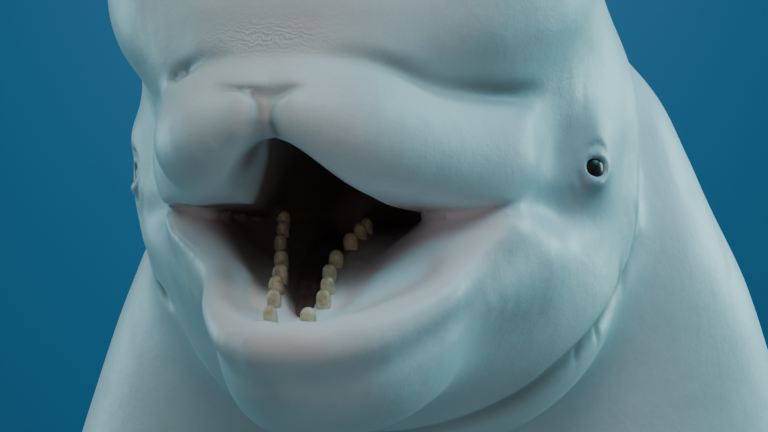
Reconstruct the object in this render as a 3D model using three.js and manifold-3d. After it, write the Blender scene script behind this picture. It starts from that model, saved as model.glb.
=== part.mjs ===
// A life-size beluga whale hanging upright in the water, its head turned to look ahead and its mouth open,
// held over a flat base by two rods. Millimetres, +Z up. The whale faces -Y and its left is +X.
// The flesh is one smooth field, negative inside: the head is meshed from it, the trunk is lofted onto it.
import * as THREE from "three";
import Module from "manifold-3d";

const wasm = await Module();
wasm.setup();

// Clearance where two pieces meet
const GAP = 0.3;

// Stand: the origin is the middle of the base's underside
const BASE_WIDTH = 1150;
const BASE_LENGTH = 1800;
const BASE_THICK = 40;
const BASE_CORNER = 160;
const BASE_BEVEL = 8;
const ROD_RADIUS = 34;
const ROD_SIDES = 32;
const FOOT_RADIUS = 92;
const FOOT_RISE = 26;
const RODS = {
  front: { y: -180, entry: 1760 },
  rear: { y: 330, entry: 940 },
};
const ROD_DEPTH = 260;

// Head frame: x forward, y to the whale's left, z up, origin midway between the eyes
const HEAD = new THREE.Vector3(-68, -820, 3380);
const HEAD_YAW = THREE.MathUtils.degToRad(13.5);
const HEAD_PITCH = THREE.MathUtils.degToRad(6);
const HEAD_REACH = 650;

// The lower jaw is drawn closed and swung down about a line through the cheeks
const GAPE = THREE.MathUtils.degToRad(24.5);
const HINGE_X = 60;
const HINGE_Z = -46;
const JAW_SHIFT = 5;

// Its front is pushed out towards -Y, from nothing at the first length to all at the second
const JAW_PUSH = 34;
const PUSH_FROM = 125;
const PUSH_TO = 225;

// The lips draw in on the whale's right, along the side and at the front corner of the lower one
const LIP_TUCK = 28;
const FRONT_TUCK = 11;

// Head masses: centre, half sizes, squareness, pitch
const SKULL = { at: [-116, 0, 18], half: [262, 232, 216], power: 2.3, pitch: 0 };
const MELON = { at: [66, 0, 156], half: [216, 211, 142], power: 2.35, pitch: THREE.MathUtils.degToRad(-6) };
const MELON_BASE = { at: [128, 0, 78], half: [172, 112, 74], power: 2.7, pitch: 0 };
const ROSTRUM = { at: [150, 0, 22], half: [160, 110, 44], power: 2, pitch: 0 };
const CHIN = { at: [112, 0, -114], half: [184, 118, 76], power: 2.2, pitch: 0 };
const THROAT = { at: [-58, 14, -92], half: [200, 208, 166], power: 2, pitch: 0 };

// Lips: x, y, z, radius along the left half, the upper one in the head frame and the lower one in the jaw's
const UPPER_LIP = [
  [302, 20, 2, 27],
  [266, 56, -6, 43],
  [206, 90, -7, 48],
  [142, 118, -5, 49],
  [84, 140, -2, 47],
  [20, 152, 8, 44],
];
const LOWER_LIP = [
  [300, 0, -70, 21],
  [299, 14, -70, 21],
  [293, 32, -70, 21],
  [270, 62, -70, 19],
  [214, 99, -65, 16],
  [182, 114, -54, 15],
  [160, 128, -43, 15],
  [141, 145, -31, 13],
  [122, 152, -31, 11],
];

// Flesh inside the lower lip, in the jaw's frame
const JAW_FILL = [
  [284, 0, -94, 24],
  [262, 40, -94, 26],
  [214, 66, -92, 32],
  [175, 86, -84, 36],
  [141, 116, -72, 40],
  [100, 136, -62, 40],
];

// Rim of the lower lip in the jaw's frame: length, half width, height
const RIM = [
  [40, 176, -12],
  [100, 172, -12],
  [141, 163, -13],
  [160, 136, -31],
  [182, 123, -42],
  [214, 109, -50],
  [270, 78, -50],
  [305, 50, -51],
  [325, 10, -52],
];

// Middle of the mouth's floor in the jaw's frame: length, height
const FLOOR = [
  [-60, -95],
  [0, -80],
  [60, -66],
  [120, -56],
  [160, -53],
  [200, -58],
  [240, -63],
  [276, -61],
  [288, -58],
  [300, -49],
  [325, -46],
];
const CHANNEL_FROM = 272;
const CHANNEL_DEPTH = 17;

// The floor rises to the rim between these shares of the half width
const RISE = { right: [0.3, 1], left: [0.14, 0.72] };

// Roof of the mouth: its height behind and at the front, that of the lips' line, and how far
// from the middle it comes down to that line at the cheeks and at the front on either side
const ROOF_BACK = 20;
const ROOF_FRONT = -16;
const LIP_LINE = -52;
const ROOF_MIDDLE = 6;
const ROOF_CHEEK = 102;
const ROOF_LEFT = 68;
const ROOF_RIGHT = 55;

// Back of the mouth: where it ends, and how far its wall comes forward on either side
const THROAT_END = -106;
const WALL_LEFT = 238;
const WALL_RIGHT = 190;

// Grooves: points with their depth, width, and the frame that they are drawn in
const GROOVES = {
  melonEdge: {
    frame: "lips",
    width: 8,
    points: [
      [299, 34, 52, 0],
      [287, 63, 51, 3],
      [262, 87, 46, 6],
      [230, 112, 39, 9],
      [192, 138, 40, 12],
      [160, 158, 43, 10],
      [136, 176, 46, 6],
      [116, 188, 48, 0],
    ],
  },
  lipLine: {
    frame: "head",
    width: 5.5,
    points: [[308, -50, 27, 0], [315, -26, 21, 5], [319, -4, 18, 7], [320, 12, 19, 6], [315, 32, 25, 0]],
  },
  lipNotch: {
    frame: "head",
    width: 12,
    points: [[322, -1, 2, 3], [319, -1, -8, 6], [308, -1, -18, 6]],
  },
  mouthCorner: {
    frame: "lips",
    width: 6,
    points: [
      [128, 184, -40, 0],
      [138, 177, -44, 5],
      [149, 168, -48, 6],
      [160, 156, -52, 3],
      [172, 146, -54, 0],
    ],
  },
  neckFold: {
    frame: "side",
    width: 12,
    points: [
      [-132, 240, -36, 0],
      [-121, 236, -60, 6],
      [-90, 221, -100, 9],
      [-29, 211, -140, 10],
      [5, 180, -177, 10],
      [16, 146, -205, 9],
      [29, 78, -233, 6],
      [34, 0, -240, 4],
    ],
  },
};

// Swellings, or hollows where the height is negative
const SWELLINGS = [
  { frame: "side", at: [292, 0, 38], size: [30, 54, 20], height: 9 },
  { frame: "side", at: [262, 66, 34], size: [44, 34, 24], height: 7 },
  { frame: "side", at: [225, 128, 74], size: [60, 50, 34], height: 7 },
  { frame: "head", at: [228, -112, 44], size: [38, 26, 30], height: 9 },
  { frame: "side", at: [98, 200, -4], size: [44, 60, 58], height: -26 },
  { frame: "side", at: [74, 206, -6], size: [25, 60, 40], height: -5 },
  { frame: "side", at: [85, 196, -44], size: [62, 60, 18], height: -12 },
  { frame: "side", at: [-44, 222, 0], size: [24, 60, 70], height: -5 },
  { frame: "side", at: [-80, 226, 110], size: [110, 70, 74], height: 13 },
  { frame: "side", at: [-138, 240, 40], size: [38, 70, 130], height: -24 },
  { frame: "side", at: [-260, 262, 110], size: [90, 80, 90], height: 32 },
  { frame: "eye", at: [-4, 8, 38], size: [38, 60, 22], height: 6 },
  { frame: "head", at: [34, 210, -2], size: [30, 60, 24], height: 10 },
  { frame: "eye", at: [1, 14, -14], size: [16, 40, 7], height: 4 },
];

// Head mesh: cell size, shortest edge that is split again
const HEAD_CELL = 27;
const HEAD_DETAIL = 17;

// Plane that parts the lower jaw from the head, through the mouth opening
const JAW_CUT_AT = [105, 0, -52];
const JAW_CUT_SLOPE = 0.25;

// Eyes: middle of each ball with its width taken as positive, and how far it looks forward from straight out
const EYES = {
  left: { side: 1, at: [28, 202, -2], turn: THREE.MathUtils.degToRad(40) },
  right: { side: -1, at: [14, 204, -2], turn: THREE.MathUtils.degToRad(24) },
};
const EYE_RADIUS = 17;
const LID_OPENING = { at: [1, 14, 0], half: [11.5, 26, 7.8] };

// Blowhole: a crescent open to the front, cut into the top of the head
const BLOWHOLE_X = -150;
const BLOWHOLE_RADIUS = 40;
const BLOWHOLE_DEPTH = 26;

// Lower teeth: length, half the distance between the rows, in the jaw's frame
const TEETH = [
  [272, 15],
  [242, 20],
  [220, 21],
  [199, 20.5],
  [174, 23.5],
  [132, 31],
  [89, 35],
  [60, 38],
];
const TOOTH_RADIUS = 5.6;
const TOOTH_HEIGHT = 13;

// Line midway between the rows: its place in front, and how it leans to the right further back
const ROW_MIDDLE = 3;
const ROW_BEND = 245;
const ROW_LEAN = 0.15;

// Tongue: length, half width, half height, height of its middle, in the jaw's frame
const TONGUE = [
  [238, 3.5, 3.5, -74],
  [228, 8, 7, -77],
  [200, 13, 11, -79],
  [160, 17, 13, -76],
  [120, 21, 15, -79],
  [60, 27, 18, -88],
  [0, 31, 21, -104],
];

// Spine: slope below the horizontal along its length from the eyes
const SPINE_START = -100;
const SPINE_END = 3700;
const SPINE_STEP = 10;
const SPINE_DROP = -5;
const SLOPE_HEAD = 6;
const SLOPE_NECK = 60;
const SLOPE_TAIL = -16;
const NECK_BOW = 4;

// Stations of the trunk: length from the eyes, half width, back above the spine, belly below it
const TRUNK = [
  [-100, 182, 165, 150],
  [120, 262, 182, 172],
  [330, 347, 228, 224],
  [520, 406, 272, 280],
  [760, 442, 320, 330],
  [1050, 452, 354, 366],
  [1450, 448, 378, 390],
  [1850, 420, 368, 376],
  [2250, 350, 320, 320],
  [2650, 256, 260, 244],
  [3000, 168, 199, 174],
  [3300, 100, 140, 117],
  [3550, 54, 84, 70],
  [3700, 30, 46, 40],
];
const RIDGE_FROM = 1720;
const RIDGE_TO = 2480;
const RIDGE_HEIGHT = 26;
const RIDGE_WIDTH = 22;

// Where the trunk is parted, lengths along the spine
const NECK_START = 180;
const SEGMENTS = [
  ["neck", 180, 480, 50],
  ["chest", 480, 1150, 75],
  ["belly", 1150, 1850, 90],
  ["rump", 1850, 2620, 85],
  ["tail_stock", 2620, 3600, 70],
];
const RING_POINTS = 44;

// Flippers: fraction of the length, chord, thickness, sweep of the middle of the chord, upward curl
const FLIPPER_ROOT = 690;
const FLIPPER_LENGTH = 500;
const FLIPPER_STUB = 26;
const FLIPPER = [
  [-0.22, 190, 84, -6, 0],
  [0, 196, 74, 0, 0],
  [0.18, 226, 62, 12, 0],
  [0.38, 268, 50, 24, 2],
  [0.58, 292, 40, 34, 8],
  [0.75, 280, 32, 42, 20],
  [0.87, 238, 26, 48, 34],
  [0.95, 172, 20, 52, 46],
  [0.99, 98, 12, 54, 53],
  [1, 30, 5, 55, 55],
];

// Flukes: distance from the middle, leading edge, trailing edge (lengths along the spine), thickness
const FLUKE = [
  [0, 3440, 3806, 74],
  [40, 3462, 3836, 66],
  [90, 3500, 3876, 54],
  [160, 3560, 3912, 44],
  [240, 3634, 3938, 35],
  [320, 3712, 3956, 28],
  [400, 3794, 3974, 21],
  [460, 3860, 3990, 16],
  [500, 3912, 4002, 11],
  [520, 3950, 4006, 7],
  [528, 3978, 4004, 4],
];
const FLUKE_CUT = 84;
const FIN_POINTS = 22;

const SKIN = 0xd9e2e4;
const COLOURS = {
  head: SKIN,
  lower_jaw: 0xd3d9dc,
  neck: 0xd4dee1,
  chest: SKIN,
  belly: 0xd5dfe2,
  rump: SKIN,
  tail_stock: 0xd2dcdf,
  flipper_left: 0xcfdade,
  flipper_right: 0xcfdade,
  fluke_left: 0xcad6da,
  fluke_right: 0xcad6da,
  eye_left: 0x14110f,
  eye_right: 0x14110f,
  tongue: 0x6c5a58,
  stand_base: 0x3a3d40,
  stand_rod_front: 0x8d9296,
  stand_rod_rear: 0x8d9296,
};

// Small maths
const clamp = (v, low, high) => Math.min(Math.max(v, low), high);

function smooth(from, to, v) {
  const t = clamp((v - from) / (to - from), 0, 1);
  return t * t * (3 - 2 * t);
}

function join(a, b, width) {
  const h = Math.max(width - Math.abs(a - b), 0) / width;
  return Math.min(a, b) - (h * h * width) / 4;
}

function meet(a, b, width) {
  return -join(-a, -b, width);
}

function lookUp(rows, at, column) {
  if (at <= rows[0][0]) return rows[0][column];
  for (let i = 1; i < rows.length; i += 1) {
    if (at > rows[i][0]) continue;
    const t = (at - rows[i - 1][0]) / (rows[i][0] - rows[i - 1][0]);
    return rows[i - 1][column] + t * (rows[i][column] - rows[i - 1][column]);
  }
  return rows[rows.length - 1][column];
}

// Head frame
const FORWARD = new THREE.Vector3(
  -Math.sin(HEAD_YAW) * Math.cos(HEAD_PITCH),
  -Math.cos(HEAD_YAW) * Math.cos(HEAD_PITCH),
  Math.sin(HEAD_PITCH),
);
const LEFT = new THREE.Vector3(Math.cos(HEAD_YAW), -Math.sin(HEAD_YAW), 0);
const UP = new THREE.Vector3().crossVectors(FORWARD, LEFT);

function toHead([x, y, z]) {
  const q = [x - HEAD.x, y - HEAD.y, z - HEAD.z];
  return [FORWARD, LEFT, UP].map((axis) => q[0] * axis.x + q[1] * axis.y + q[2] * axis.z);
}

function fromHead([x, y, z]) {
  return new THREE.Vector3()
    .copy(HEAD)
    .addScaledVector(FORWARD, x)
    .addScaledVector(LEFT, y)
    .addScaledVector(UP, z)
    .toArray();
}

function turned([x, y, z], angle) {
  const u = x - HINGE_X;
  const v = z - HINGE_Z;
  const c = Math.cos(angle);
  const s = Math.sin(angle);
  return [u * c - v * s + HINGE_X, y, u * s + v * c + HINGE_Z];
}

const AHEAD = [FORWARD, LEFT, UP].map((axis) => -axis.y);

function push(h, x, sign) {
  const reach = sign * JAW_PUSH * smooth(PUSH_FROM, PUSH_TO, x);
  return h.map((v, n) => v + reach * AHEAD[n]);
}

// Where a point of the head's frame lay before the jaw's front was pushed out
function pulledIn(h) {
  let before = h;
  for (let i = 0; i < 4; i += 1) {
    before = push(h, turned(before, GAPE)[0], -1);
  }
  return before;
}

// From the jaw's frame, pushed as a point at a given length is
function fromJaw(j, at = j[0]) {
  return push(turned(j, -GAPE), at, 1);
}

// Rounded masses, pipes of changing radius, swellings and creases
function mass(p, { at, half, power, pitch }) {
  const x = p[0] - at[0];
  const y = p[1] - at[1];
  const z = p[2] - at[2];
  const c = Math.cos(pitch);
  const s = Math.sin(pitch);
  const u = Math.abs(x * c + z * s) / half[0];
  const v = Math.abs(y) / half[1];
  const w = Math.abs(-x * s + z * c) / half[2];
  const k = (u ** power + v ** power + w ** power) ** (1 / power) + 1e-9;
  return Math.hypot(x, y, z) * (1 - 1 / k);
}

function curve(points, pieces) {
  const first = points[0].map((v, i) => 2 * v - points[1][i]);
  const last = points.at(-1).map((v, i) => 2 * v - points.at(-2)[i]);
  const all = [first, ...points, last];
  const out = [];
  for (let i = 1; i < all.length - 2; i += 1) {
    for (let j = 0; j < pieces; j += 1) {
      const t = j / pieces;
      out.push(all[i].map((b, n) => {
        const a = all[i - 1][n];
        const c = all[i + 1][n];
        const d = all[i + 2][n];
        const square = 2 * a - 5 * b + 4 * c - d;
        const cube = 3 * b - a - 3 * c + d;
        return 0.5 * (2 * b + (c - a) * t + square * t ** 2 + cube * t ** 3);
      }));
    }
  }
  out.push(points.at(-1));
  return out;
}

function segmentsOf(points, pieces) {
  const samples = curve(points, pieces);
  return samples.slice(1).map((b, i) => {
    const a = samples[i];
    const d = [b[0] - a[0], b[1] - a[1], b[2] - a[2]];
    const length = Math.hypot(...d);
    const tilt = (b[3] - a[3]) / length;
    const lean = tilt / Math.sqrt(Math.max(1 - tilt * tilt, 0.05));
    return { a, d: d.map((v) => v / length), length, tilt, lean };
  });
}

function pipe(p, segments) {
  let best = Infinity;
  for (const { a, d, length, tilt, lean } of segments) {
    const x = p[0] - a[0];
    const y = p[1] - a[1];
    const z = p[2] - a[2];
    const along = x * d[0] + y * d[1] + z * d[2];
    const off = Math.sqrt(Math.max(x * x + y * y + z * z - along * along, 0));
    const t = clamp(along + off * lean, 0, length);
    best = Math.min(best, Math.hypot(x - t * d[0], y - t * d[1], z - t * d[2]) - a[3] - tilt * t);
  }
  return best;
}

function crease(p, segments, width) {
  let nearest = Infinity;
  let depth = 0;
  for (const { a, d, length, tilt } of segments) {
    const x = p[0] - a[0];
    const y = p[1] - a[1];
    const z = p[2] - a[2];
    const t = clamp(x * d[0] + y * d[1] + z * d[2], 0, length);
    const gap = Math.hypot(x - t * d[0], y - t * d[1], z - t * d[2]);
    if (gap >= nearest) continue;
    nearest = gap;
    depth = a[3] + tilt * t;
  }
  return depth * Math.exp(-((nearest / width) ** 2));
}

function swelling(p, at, size, height) {
  const u = (p[0] - at[0]) / size[0];
  const v = (p[1] - at[1]) / size[1];
  const w = (p[2] - at[2]) / size[2];
  return -height * Math.exp(-(u * u + v * v + w * w));
}

// Frames of the face
function toEye(h) {
  const { at, turn } = h[1] > 0 ? EYES.left : EYES.right;
  const x = h[0] - at[0];
  const y = Math.abs(h[1]) - at[1];
  return [x * Math.cos(turn) - y * Math.sin(turn), x * Math.sin(turn) + y * Math.cos(turn), h[2] - at[2]];
}

function fromEye({ side, at, turn }, [x, y, z]) {
  return fromHead([
    at[0] + x * Math.cos(turn) + y * Math.sin(turn),
    side * (at[1] - x * Math.sin(turn) + y * Math.cos(turn)),
    at[2] + z,
  ]);
}

function toLips([x, y, z]) {
  return [x, y - LIP_TUCK * (1 - smooth(180, 280, x)) * smooth(20, 90, -y), z];
}

function jawOf(h) {
  const j = turned(toLips(pulledIn(h)), GAPE);
  j[1] -= FRONT_TUCK * smooth(225, 285, j[0]) * smooth(0, 40, JAW_SHIFT - j[1]);
  return j;
}

function mirrored([x, y, z]) {
  return [x, Math.abs(y), z];
}

// Head
const upperLip = segmentsOf(UPPER_LIP, 4);
const lowerLip = segmentsOf(LOWER_LIP, 3);
const jawFill = segmentsOf(JAW_FILL, 3);
const grooves = Object.values(GROOVES).map(({ frame, width, points }) => ({
  frame,
  width,
  segments: segmentsOf(points, 3),
  low: [0, 1, 2].map((n) => Math.min(...points.map((p) => p[n])) - 3 * width),
  high: [0, 1, 2].map((n) => Math.max(...points.map((p) => p[n])) + 3 * width),
}));

function relief(h) {
  const frames = { head: h, side: mirrored(h), eye: toEye(h), lips: mirrored(toLips(h)) };
  let sum = 0;
  for (const { frame, width, segments, low, high } of grooves) {
    const p = frames[frame];
    if (p.every((v, n) => v > low[n] && v < high[n])) sum += crease(p, segments, width);
  }
  for (const { frame, at, size, height } of SWELLINGS) {
    sum += swelling(frames[frame], at, size, height);
  }
  return sum;
}

function rowMiddle(x) {
  return ROW_MIDDLE - ROW_LEAN * Math.max(ROW_BEND - x, 0);
}

const rowHalves = TEETH.toReversed();

// Height of the mouth's floor in the jaw's frame: a bowl with a channel for the tongue and gums beside it
function jawFloor([x, y]) {
  const across = Math.abs(y - JAW_SHIFT) / lookUp(RIM, x, 1);
  const middle = lookUp(FLOOR, x, 1);
  const edge = lookUp(RIM, x, 2) + 6;
  const back = Math.max(CHANNEL_FROM - x, 0);
  const off = y - rowMiddle(x);
  const wide = 6 + Math.min(0.1 * back, 12);
  const channel = CHANNEL_DEPTH * smooth(0, 70, back) * Math.exp(-((off / wide) ** 4));
  const ridge = 4 * Math.exp(-(((Math.abs(off) - lookUp(rowHalves, x, 1)) / 9) ** 2));
  const left = smooth(0, 60, y);
  const from = THREE.MathUtils.lerp(RISE.right[0], RISE.left[0], left);
  const to = THREE.MathUtils.lerp(RISE.right[1], RISE.left[1], left);
  const rise = smooth(from, to, across);
  return middle + (edge - middle) * rise - channel + ridge;
}

// Positive outside the hollow of the mouth
function mouth(h) {
  const j = jawOf(h);
  const [x, across, z] = toLips(h);
  const y = Math.abs(across);
  const arch = ROOF_BACK + (ROOF_FRONT - ROOF_BACK) * smooth(190, 322, x);
  const front = across < 0 ? ROOF_RIGHT : ROOF_LEFT;
  const inside = ROOF_CHEEK + (front - ROOF_CHEEK) * smooth(60, 200, x);
  const roof = arch + (LIP_LINE - arch) * smooth(ROOF_MIDDLE, inside, y);
  const palate = z - roof - 4 * smooth(120, 150, y);
  const floor = jawFloor(j) - j[2];
  const leftBack = THROAT_END + WALL_LEFT * smooth(30, 96, y);
  const rightBack = THROAT_END + WALL_RIGHT * Math.min((y / 150) ** 2, 2);
  const back = (across > 0 ? leftBack : rightBack) - x;
  return meet(meet(palate, floor, 4), back, 20);
}

function headField(h) {
  let upper = join(mass(h, SKULL), mass(h, MELON), 50);
  upper = join(upper, mass(h, MELON_BASE), 40);
  upper = join(upper, mass(h, ROSTRUM), 25);
  upper = join(upper, pipe(mirrored(toLips(h)), upperLip), 18);
  const j = jawOf(h);
  j[1] -= JAW_SHIFT;
  const side = mirrored(j);
  let lower = join(join(mass(j, CHIN), pipe(side, jawFill), 30), pipe(side, lowerLip), 16);
  lower = join(lower, mass(h, THROAT), 60);
  return join(upper, lower, 14);
}

// Trunk
function slope(s) {
  const degrees = SLOPE_HEAD + SLOPE_NECK * smooth(-80, 480, s) + SLOPE_TAIL * smooth(1700, 3700, s);
  return THREE.MathUtils.degToRad(degrees);
}

function walkSpine(from, to) {
  const step = from < to ? SPINE_STEP : -SPINE_STEP;
  const knots = [[from, HEAD.y, HEAD.z + SPINE_DROP]];
  for (let s = from; Math.abs(to - s) > 1e-6; s += step) {
    const [, y, z] = knots.at(-1);
    const angle = slope(s + step / 2);
    knots.push([s + step, y + Math.cos(angle) * step, z - Math.sin(angle) * step]);
  }
  return knots;
}

const SPINE_REACH = SPINE_END + 320;
const spine = [...walkSpine(0, SPINE_START).slice(1).reverse(), ...walkSpine(0, SPINE_REACH)];

function spinePoint(s) {
  const at = clamp((s - SPINE_START) / SPINE_STEP, 0, spine.length - 1.001);
  const i = Math.floor(at);
  const t = at - i;
  return [
    spine[i][1] + t * (spine[i + 1][1] - spine[i][1]),
    spine[i][2] + t * (spine[i + 1][2] - spine[i][2]),
  ];
}

function spineX(s) {
  return HEAD.x * (1 - smooth(-80, 280, s)) + NECK_BOW * smooth(-80, 220, s) * (1 - smooth(380, 560, s));
}

function spineCoordinates([x, y, z]) {
  let s = 0;
  let nearest = Infinity;
  for (let i = 0; i * SPINE_STEP <= SPINE_END - SPINE_START; i += 12) {
    const d = (y - spine[i][1]) ** 2 + (z - spine[i][2]) ** 2;
    if (d >= nearest) continue;
    nearest = d;
    s = spine[i][0];
  }
  let ahead = 0;
  let up = 0;
  for (let i = 0; i < 5; i += 1) {
    const angle = slope(s);
    const [sy, sz] = spinePoint(s);
    ahead = (y - sy) * Math.cos(angle) - (z - sz) * Math.sin(angle);
    up = (y - sy) * Math.sin(angle) + (z - sz) * Math.cos(angle);
    if (i === 4) break;
    const bend = (slope(s + 5) - slope(s - 5)) / 10;
    s = clamp(s + clamp(ahead / Math.max(1 + bend * up, 0.3), -70, 70), SPINE_START, SPINE_END);
  }
  return { s, x: x - spineX(s), up, ahead };
}

function tangents(rows) {
  const rise = rows.slice(1).map((row, i) => row.map((v, n) => (v - rows[i][n]) / (row[0] - rows[i][0])));
  return rows.map((row, i) => row.map((v, n) => {
    if (i === 0) return rise[0][n];
    if (i === rows.length - 1) return rise[i - 1][n];
    return rise[i - 1][n] * rise[i][n] > 0 ? (rise[i - 1][n] + rise[i][n]) / 2 : 0;
  }));
}

const trunkTangents = tangents(TRUNK);

function trunkSize(s, column) {
  let i = 0;
  while (i < TRUNK.length - 2 && s > TRUNK[i + 1][0]) i += 1;
  const [a, b] = [TRUNK[i], TRUNK[i + 1]];
  const h = b[0] - a[0];
  const t = clamp((s - a[0]) / h, 0, 1);
  return (2 * t ** 3 - 3 * t ** 2 + 1) * a[column]
    + (t ** 3 - 2 * t ** 2 + t) * h * trunkTangents[i][column]
    + (-2 * t ** 3 + 3 * t ** 2) * b[column]
    + (t ** 3 - t ** 2) * h * trunkTangents[i + 1][column];
}

function trunkField(p) {
  const { s, x, up, ahead } = spineCoordinates(p);
  const q = Math.hypot(x / trunkSize(s, 1), up / trunkSize(s, up > 0 ? 2 : 3), ahead / 120) + 1e-9;
  const ridge = up > 0
    ? RIDGE_HEIGHT * smooth(RIDGE_FROM, RIDGE_FROM + 260, s) * (1 - smooth(RIDGE_TO - 260, RIDGE_TO, s))
      * Math.exp(-((x / RIDGE_WIDTH) ** 2))
    : 0;
  return Math.hypot(x, up, ahead) * (1 - 1 / q) - ridge;
}

function flesh(p) {
  const trunk = trunkField(p);
  if (Math.hypot(p[0] - HEAD.x, p[1] - HEAD.y, p[2] - HEAD.z) > HEAD_REACH) return trunk;
  const h = toHead(p);
  return meet(join(headField(h), trunk, 40) + relief(h), -mouth(h), 6);
}

// Surfaces of a field: one point in every cell the surface crosses, joined across the crossed edges
function slopeOf(field, p) {
  const step = 0.8;
  return [0, 1, 2].map((axis) => {
    const a = [...p];
    const b = [...p];
    a[axis] += step;
    b[axis] -= step;
    return (field(a) - field(b)) / (2 * step);
  });
}

function settle(field, p, limit) {
  const q = [...p];
  for (let i = 0; i < 4; i += 1) {
    const g = slopeOf(field, q);
    const size = Math.max(g[0] ** 2 + g[1] ** 2 + g[2] ** 2, 0.09);
    const pull = field(q) / size;
    const move = clamp(pull, -limit, limit);
    for (let axis = 0; axis < 3; axis += 1) q[axis] -= g[axis] * move;
    if (Math.abs(pull) < 0.02) break;
  }
  return q;
}

function isoSurface(field, low, high, cell) {
  const n = low.map((v, i) => Math.ceil((high[i] - v) / cell) + 1);
  const index = (i, j, k) => (k * n[1] + j) * n[0] + i;
  const values = new Float64Array(n[0] * n[1] * n[2]);
  for (let k = 0; k < n[2]; k += 1) {
    for (let j = 0; j < n[1]; j += 1) {
      for (let i = 0; i < n[0]; i += 1) {
        values[index(i, j, k)] = field([low[0] + i * cell, low[1] + j * cell, low[2] + k * cell]);
      }
    }
  }
  fillSaddles(values, n, index);

  const corners = Array.from({ length: 8 }, (unused, i) => [i & 1, (i >> 1) & 1, i >> 2]);
  const edges = [1, 2, 4].flatMap((step) => (
    corners.flatMap((unused, i) => (i & step ? [] : [[i, i + step]]))
  ));
  const points = [];
  const cellPoint = new Map();
  for (let k = 0; k < n[2] - 1; k += 1) {
    for (let j = 0; j < n[1] - 1; j += 1) {
      for (let i = 0; i < n[0] - 1; i += 1) {
        const v = corners.map(([a, b, c]) => values[index(i + a, j + b, k + c)]);
        const sum = [0, 0, 0];
        let crossed = 0;
        for (const [a, b] of edges) {
          if (v[a] < 0 === v[b] < 0) continue;
          const t = v[a] / (v[a] - v[b]);
          for (let axis = 0; axis < 3; axis += 1) {
            sum[axis] += corners[a][axis] + t * (corners[b][axis] - corners[a][axis]);
          }
          crossed += 1;
        }
        if (!crossed) continue;
        cellPoint.set(index(i, j, k), points.length);
        points.push([i, j, k].map((v0, axis) => low[axis] + (v0 + sum[axis] / crossed) * cell));
      }
    }
  }

  const faces = [];
  const around = [[1, 2], [2, 0], [0, 1]];
  for (let k = 1; k < n[2] - 1; k += 1) {
    for (let j = 1; j < n[1] - 1; j += 1) {
      for (let i = 1; i < n[0] - 1; i += 1) {
        const here = values[index(i, j, k)] < 0;
        for (let axis = 0; axis < 3; axis += 1) {
          const next = [i, j, k];
          next[axis] += 1;
          if (here === values[index(...next)] < 0) continue;
          const [u, v] = around[axis];
          const ring = [[0, 0], [1, 0], [1, 1], [0, 1]].map(([a, b]) => {
            const c = [i, j, k];
            c[u] -= a;
            c[v] -= b;
            return cellPoint.get(index(...c));
          });
          if (!here) ring.reverse();
          faces.push(...splitQuad(points, ring));
        }
      }
    }
  }
  return { points: points.map((p) => settle(field, p, cell / 3)), faces };
}

function splitQuad(points, [a, b, c, d]) {
  const gap = (p, q) => Math.hypot(...points[p].map((v, i) => v - points[q][i]));
  return gap(a, c) < gap(b, d) ? [[a, b, c], [a, c, d]] : [[b, c, d], [b, d, a]];
}

// A square of four samples whose signs alternate would pinch the surface, so it is filled in
function fillSaddles(values, n, index) {
  const planes = [[[1, 0, 0], [0, 1, 0]], [[0, 1, 0], [0, 0, 1]], [[1, 0, 0], [0, 0, 1]]];
  let changed = true;
  while (changed) {
    changed = false;
    for (let k = 0; k < n[2] - 1; k += 1) {
      for (let j = 0; j < n[1] - 1; j += 1) {
        for (let i = 0; i < n[0] - 1; i += 1) {
          for (const [u, v] of planes) {
            const a = index(i, j, k);
            const b = index(i + u[0], j + u[1], k + u[2]);
            const c = index(i + u[0] + v[0], j + u[1] + v[1], k + u[2] + v[2]);
            const d = index(i + v[0], j + v[1], k + v[2]);
            const signs = [a, b, c, d].map((m) => values[m] < 0);
            if (signs[0] !== signs[2] || signs[1] !== signs[3] || signs[0] === signs[1]) continue;
            values[signs[0] ? b : a] = -0.5;
            changed = true;
          }
        }
      }
    }
  }
}

// Edges that stray from the surface are split and their middles moved onto it
function refine(field, { points, faces }, tolerance, shortest) {
  const key = (a, b) => (a < b ? a * 1e6 + b : b * 1e6 + a);
  const middles = new Map();
  const seen = new Set();
  for (const face of faces) {
    for (let i = 0; i < 3; i += 1) {
      const [a, b] = [face[i], face[(i + 1) % 3]];
      const name = key(a, b);
      if (seen.has(name)) continue;
      seen.add(name);
      const [p, q] = [points[a], points[b]];
      if (Math.hypot(p[0] - q[0], p[1] - q[1], p[2] - q[2]) < shortest) continue;
      const middle = p.map((v, n) => (v + q[n]) / 2);
      if (Math.abs(field(middle)) < tolerance) continue;
      middles.set(name, points.length);
      points.push(settle(field, middle, shortest));
    }
  }
  const out = [];
  for (const [a, b, c] of faces) {
    const [x, y, z] = [middles.get(key(a, b)), middles.get(key(b, c)), middles.get(key(c, a))];
    const has = [x, y, z].map((v) => v !== undefined);
    const count = has.filter(Boolean).length;
    if (count === 0) out.push([a, b, c]);
    if (count === 3) out.push([a, x, z], [x, b, y], [z, y, c], [x, y, z]);
    if (count === 1) {
      if (has[0]) out.push([a, x, c], [x, b, c]);
      if (has[1]) out.push([b, y, a], [y, c, a]);
      if (has[2]) out.push([c, z, b], [z, a, b]);
    }
    if (count === 2) {
      if (!has[0]) out.push([c, z, y], ...splitQuad(points, [a, b, y, z]));
      if (!has[1]) out.push([a, x, z], ...splitQuad(points, [b, c, z, x]));
      if (!has[2]) out.push([b, y, x], ...splitQuad(points, [c, a, x, y]));
    }
  }
  return { points, faces: out };
}

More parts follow.
